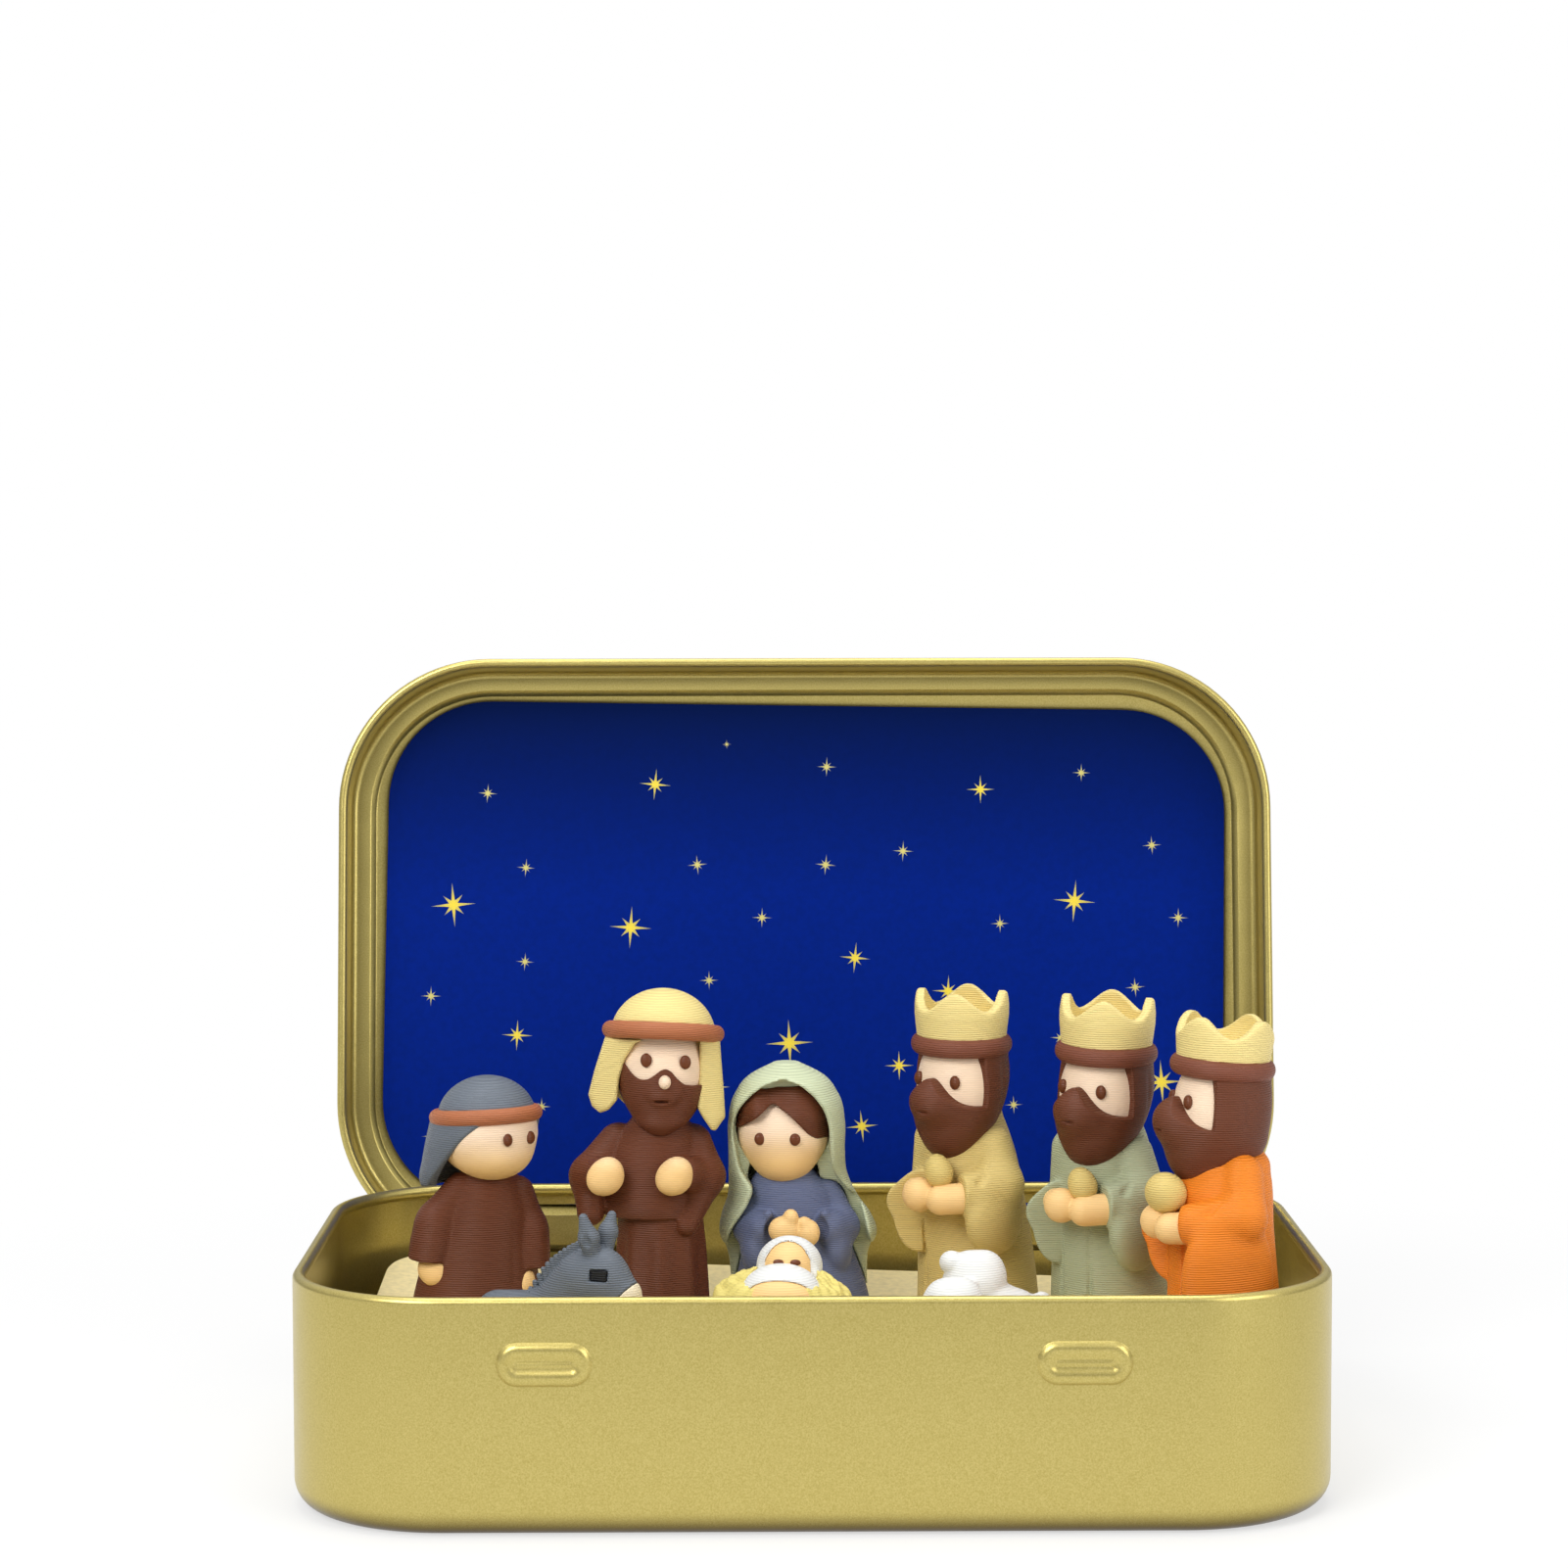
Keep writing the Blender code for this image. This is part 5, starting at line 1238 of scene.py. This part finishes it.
def make_manger():
    """A crib of boards on four splayed legs, heaped with hay that has a hollow for the baby."""
    box = slab((-5.4, -5.9, 1.3), (5.4, 5.9, 4.7), 1.2)
    slope = lambda x, y, z: np.abs(x) * 0.78 - (z + 2.6) * 0.66 + 0 * y
    legs = [
        bar(
            (sx * 2.6, sy * 4.1, 3.0), (sx * 3.9, sy * 4.5, 0.4), 1.0, 1.1,
        ) for sx in (-1, 1) for sy in (-1, 1)
    ]
    crib = both(0.12, meld(0.3, both(0.5, box, slope), *legs), above(0.0))
    printed("manger", "crib", crib, (-6.5, -6.8, 0), (6.5, 6.8, 5.4), 0.18, "crib")

    def straw(x, y, z):
        angle = np.arctan2(y, x)
        out = np.sqrt((x / 6.1) ** 2 + (y / 6.3) ** 2)
        waves = 2.4 * np.sin(3 * angle) + 1.3 * np.sin(7 * angle + 9 * out)
        strands = 0.13 * np.sin(26 * out + waves) + 0.08 * np.sin(31 * angle + 14 * out)
        fringe = 0.28 * np.sin(23 * angle) + 0.22 * np.sin(41 * angle + 1.3)
        mound = egg((-0.25, 0, 4.9), (6.5, 6.4, 3.25))(x, y, z)
        hollow = egg((0.2, -0.8, 8.3), (3.2, 5.0, 2.6))(x, y, z)
        lower = (4.5 + fringe * np.clip(out - 0.7, 0, 1) * 2.2) - z
        return np.maximum(np.maximum(mound - strands, -(hollow + strands)), lower)

    printed("manger", "hay", straw, (-7.2, -7.0, 3.6), (7.0, 7.0, 8.8), 0.14, "hay")


def make_baby():
    """A baby on its back, wrapped at the waist, with a cap round its head."""
    head = egg((0.3, 1.7, 7.9), (2.35, 2.3, 2.45))
    belly = egg((0.0, -4.0, 5.9), (3.15, 1.9, 2.0))
    trunk = meld(0.5, belly, egg((0.1, -1.6, 6.2), (2.6, 3.0, 1.6)))
    printed("baby", "body", meld(0.3, head, trunk), (-3.6, -6.4, 3.6), (3.8, 4.4, 10.8), 0.13, "skin")
    wrap = carve(0.2, egg((0.0, -2.2, 6.2), (3.75, 3.2, 2.75)), grown(0.02, belly))
    wrap = both(0.1, wrap, lambda x, y, z: y - 0.1 - 0.15 * (z - 8) + 0 * x)
    printed("baby", "cloth", wrap, (-4.0, -5.2, 4.0), (4.2, 2.0, 9.8), 0.13, "white")
    rim = tipped(hoop(7.85, 2.6, 0.55, 0.0), pivot=(0.3, 1.3, 7.85), pitch=78.0)
    shell = both(
        0.2, egg((0.3, 2.5, 7.85), (3.1, 2.75, 2.85)), lambda x, y,
        z: (0.95 - y) * 0.97 - (z - 7.85) * 0.2 + 0 * x,
    )
    cap = meld(0.2, carve(0.1, shell, grown(0.05, head)), lambda x, y, z: rim(x - 0.3, y, z))
    printed("baby", "cap", cap, (-3.6, -1.6, 4.4), (4.2, 5.8, 11.6), 0.13, "white")
    dots("baby", "eyes", [(-0.45, -0.5, 8.75), (1.15, -0.5, 8.75)], (0.5, 0.2, 0.3))


def make_sheep(name, muzzle_z, neck=0.0):
    """A woolly lamb, its fleece built of a few round lumps."""
    body = meld(0.7, egg((1.0, 0, 3.3), (3.6, 3.0, 2.5)), egg((-0.6, 0, 4.4), (2.6, 2.6, 2.4)))
    tail = egg((4.5, 0, 4.3), (0.95, 0.9, 1.0))
    wool = meld(
        0.5, egg((-1.9, 0, 6.2 - neck), (3.0, 2.7, 2.6)), egg((-2.2, 0, 7.7 - neck), (2.0, 1.9, 1.6)),
        egg((-0.9, 0, 7.0 - neck), (2.0, 2.0, 2.3)),
    )
    face = egg((-4.0, 0, muzzle_z), (1.15, 1.25, 1.1))
    ears = mirrored_y(egg((-2.6, 2.5, 6.6), (0.8, 0.7, 0.6)))
    legs = mirrored_y(meld(
        0.3, bar((-1.1, 1.4, 2.4), (-1.2, 1.5, 0.6), 1.1, 0.95),
        bar((3.0, 1.4, 2.2), (3.1, 1.5, 0.6), 1.1, 0.95),
    ))
    shape = both(0.1, meld(0.25, meld(0.45, body, tail), wool, face, ears, legs), above(0.0))
    printed(name, "", shape, (-6.8, -3.8, 0), (6.2, 3.8, 10.4), 0.16, "white")


# Floor, light and camera

# Lamps: name, place, what it aims at and size in metres, and power in watts
LAMPS = (
    ("key", (-0.28, -0.42, 0.42), (0, 0, 0.03), 0.32, 2.4),
    ("fill", (0.42, -0.34, 0.26), (0, 0, 0.03), 0.36, 1.2),
    ("top", (0.0, 0.05, 0.62), (0, 0, 0.02), 0.4, 1.6),
)
PURE_WHITE = (1.0, 1.0, 1.0, 1.0)


def make_floor():
    """A white floor that fades to pure white away from the object."""
    bpy.ops.mesh.primitive_plane_add(size=4.0, location=(0, 0, 0))
    floor = bpy.context.active_object
    floor.name = "floor"
    material, tree, shader = new_material("floor_white")
    feed(tree, shader, {"Base Color": (0.92, 0.92, 0.91, 1.0), "Roughness": 0.7, "Specular IOR Level": 0.1})
    far = shade(tree, "VectorMath", "Value", {0: shade(tree, "TexCoord", "Object")}, operation="LENGTH")
    seen = math_node(
        tree, "MAXIMUM", shade(tree, "LightPath", "Is Camera Ray"), shade(tree, "LightPath", "Is Glossy Ray"),
    )
    share = math_node(tree, "MULTIPLY", mapped(tree, far, 0.06, 0.16, to_low=0.62), seen)
    glow = shade(tree, "Emission", 0, {"Color": PURE_WHITE, "Strength": 1.0})
    surface = shade(tree, "MixShader", 0, {0: share, 1: shader.outputs[0], 2: glow})
    feed(tree, tree.nodes["Material Output"], {"Surface": surface})
    floor.data.materials.append(material)


def make_world():
    """White to the camera, a soft grey in the metal's reflections, and an even cool light for the rest."""
    world = bpy.data.worlds.new("studio")
    bpy.context.scene.world = world
    world.use_nodes = True
    tree = world.node_tree
    light = tree.nodes["Background"]
    feed(tree, light, {0: (0.93, 0.95, 1.0, 1.0), 1: 0.44})
    up = shade(tree, "SeparateXYZ", "Z", {0: shade(tree, "TexCoord", "Generated")})
    reflected = shade(
        tree, "Background", 0, {0: (0.97, 0.98, 1.0, 1.0), 1: mapped(tree, up, -0.1, 0.75, 0.16, 0.95)},
    )
    white = shade(tree, "Background", 0, {0: PURE_WHITE, 1: 1.0})
    glossy, direct = (shade(tree, "LightPath", f"Is {kind} Ray") for kind in ("Glossy", "Camera"))
    sky = shade(tree, "MixShader", 0, {0: glossy, 1: light.outputs[0], 2: reflected})
    surface = shade(tree, "MixShader", 0, {0: direct, 1: sky, 2: white})
    feed(tree, tree.nodes["World Output"], {0: surface})


def make_lamps():
    for name, place, aim, size, power in LAMPS:
        lamp = bpy.data.lights.new(name, "AREA")
        lamp.size = size
        lamp.energy = power
        obj = bpy.data.objects.new(name, lamp)
        obj.location = place
        obj.rotation_euler = (Vector(aim) - Vector(place)).to_track_quat("-Z", "Y").to_euler()
        bpy.context.scene.collection.objects.link(obj)


def make_camera():
    """The camera of the photograph's lower view, fitted to the tin's own edges."""
    pitch, yaw, roll = (math.radians(angle) for angle in CAMERA_TURN)
    ahead = Vector((-math.sin(yaw) * math.cos(pitch), math.cos(yaw) * math.cos(pitch), math.sin(pitch)))
    right = Vector((math.cos(yaw), math.sin(yaw), 0.0))
    up = right.cross(ahead)
    turned_right = right * math.cos(roll) + up * math.sin(roll)
    turned_up = up * math.cos(roll) - right * math.sin(roll)
    matrix = Matrix((turned_right, turned_up, -ahead)).transposed().to_4x4()
    matrix.translation = Vector(CAMERA_PLACE) * MM
    data = bpy.data.cameras.new("camera")
    data.lens = PHOTO_FOCAL / PHOTO_SIDE * SENSOR
    data.sensor_width = SENSOR
    data.clip_start = 0.01
    camera = bpy.data.objects.new("camera", data)
    camera.matrix_world = matrix
    bpy.context.scene.collection.objects.link(camera)
    bpy.context.scene.camera = camera


make_camera()
make_floor()
make_world()
make_lamps()
make_tin_base()
make_lid()
make_star_card()
make_stage_card()
make_shepherd()
make_father()
make_mother()
make_king("tan_king", "tan", "drop")
make_king("green_king", "green", "drop")
make_king("orange_king", "orange", "ball")
make_donkey()
make_manger()
make_baby()
make_sheep("left_sheep", 5.2, 0.9)
make_sheep("right_sheep", 8.2)
bpy.context.scene.view_settings.view_transform = "Standard"
